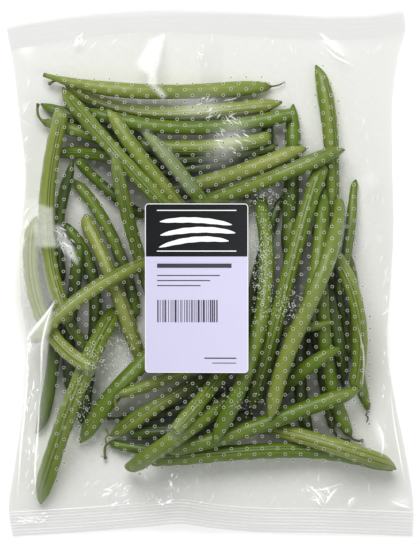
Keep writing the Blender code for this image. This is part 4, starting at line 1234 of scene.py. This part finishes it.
def buildLabel():
    look = labelLook
    halfU, halfV = labelPlace["width"] / 2, labelPlace["length"] / 2
    seamAt = halfV - look["bandDepth"]
    rim = printMaterial("labelRim", look["rim"], 0.03, 0.34)
    field = printMaterial("labelField", look["field"], 0.035, 0.34)
    band = printMaterial("labelBand", look["band"], 0.3, 0.36)
    ink = printMaterial("labelInk", look["ink"], 0.2, 0.4)
    white = printMaterial("labelWhite", look["white"], 0.03, 0.36)
    whole = (-halfU, halfU, -halfV, halfV)
    base, points = labelSheet("labelFace", whole, labelPlace["corner"], 0.0, rim)
    skirt = addSkirt(base, points, labelPlace["thick"] + 0.4)
    inU, inV = halfU - 0.45, halfV - 0.45
    lower, _ = labelSheet("labelFieldPrint", (-inU, inU, -inV, seamAt), 1.4, 0.03, field)
    upper, _ = labelSheet("labelBandPrint", (-inU, inU, seamAt - 2.0, inV), 1.4, 0.05, band)
    cover, _ = labelSheet("labelFieldTop", (-inU, inU, seamAt - 3.0, seamAt), 0.01, 0.08, field)
    rules = [ruleShape(-20.4, 18.0, seamAt - 5.8, seamAt - 3.6)]
    for k in range(3):
        low = seamAt - 10.0 - 2.6 * k
        rules.append(ruleShape(-20.4, 12.0 - 5.0 * k, low, seamAt - 9.5 - 2.6 * k))
    rules += [ruleShape(4.0, 20.4, -36.4, -35.8), ruleShape(8.0, 20.4, -38.8, -38.4)]
    prints = printShapes("labelPrint", rules + barShapes(), 0.12, ink)
    pods = [
        podShapeInk((-1.4, seamAt + 6.4), 18.0, 1.25, 2.4, 1.6),
        podShapeInk((0.6, seamAt + 11.6), 19.4, 1.35, 2.2, 0.6),
        podShapeInk((-0.4, seamAt + 17.2), 18.6, 1.25, 1.6, -0.8),
    ]
    pods += [ruleShape(-20.5, 20.5, seamAt + low, seamAt + low + 0.5) for low in (2.6, 23.6)]
    marks = printShapes("labelMark", pods, 0.12, white)
    for piece in (base, skirt, lower, upper, cover, prints, marks):
        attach(piece, "root")
    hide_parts("label")


buildLabel()
print("label made")


studio = {
    "cameraHeight": 3.0,
    "shownHeight": 544 * 0.52 * mm,
    "middleHeight": 0.012,
    "floor": (0.94, 0.94, 0.938),
    "floorSize": 2.4,
    "world": 0.46,
    "key": ((-0.25, 0.95, 1.35), 1.1, 25.0),        # place, size, power
    "fill": ((0.8, -0.5, 1.5), 0.9, 4.5),
}


def addArea(name, place, size, power):
    data = bpy.data.lights.new(name, "AREA")
    data.shape = "DISK"
    data.size = size
    data.energy = power
    lamp = bpy.data.objects.new(name, data)
    lamp.location = place
    lamp.rotation_euler = (-Vector(place)).to_track_quat("-Z", "Y").to_euler()
    bpy.context.scene.collection.objects.link(lamp)


def buildStudio():
    look = studio
    half = look["floorSize"] / 2 / mm
    material, tree, shader = newMaterial("floor", look["floor"], 0.7)
    tone = addMottle(tree, objectPlace(tree), 8.0, 0.3)
    paler = tuple(c + 0.01 for c in look["floor"])
    tree.links.new(mixColours(tree, tone, look["floor"], paler), shader.inputs["Base Color"])
    corners = [(-half, -half, -0.6), (half, -half, -0.6), (half, half, -0.6), (-half, half, -0.6)]
    meshPiece("floor", corners, [(0, 1, 2, 3)], material, False)
    addArea("keyLight", *look["key"])
    addArea("fillLight", *look["fill"])
    world = bpy.data.worlds.new("softRoom")
    world.use_nodes = True
    world.node_tree.nodes["Background"].inputs["Color"].default_value = (1.0, 1.0, 1.0, 1.0)
    world.node_tree.nodes["Background"].inputs["Strength"].default_value = look["world"]
    bpy.context.scene.world = world
    data = bpy.data.cameras.new("photoCamera")
    data.sensor_fit = "VERTICAL"
    data.sensor_height = 36.0
    data.lens = 36.0 * (look["cameraHeight"] - look["middleHeight"]) / look["shownHeight"]
    data.clip_end = 20.0
    camera = bpy.data.objects.new("photoCamera", data)
    camera.location = (0.0, 0.0, look["cameraHeight"])
    bpy.context.scene.collection.objects.link(camera)
    bpy.context.scene.camera = camera
    bpy.context.scene.view_settings.view_transform = "Standard"


buildStudio()
print("studio made")
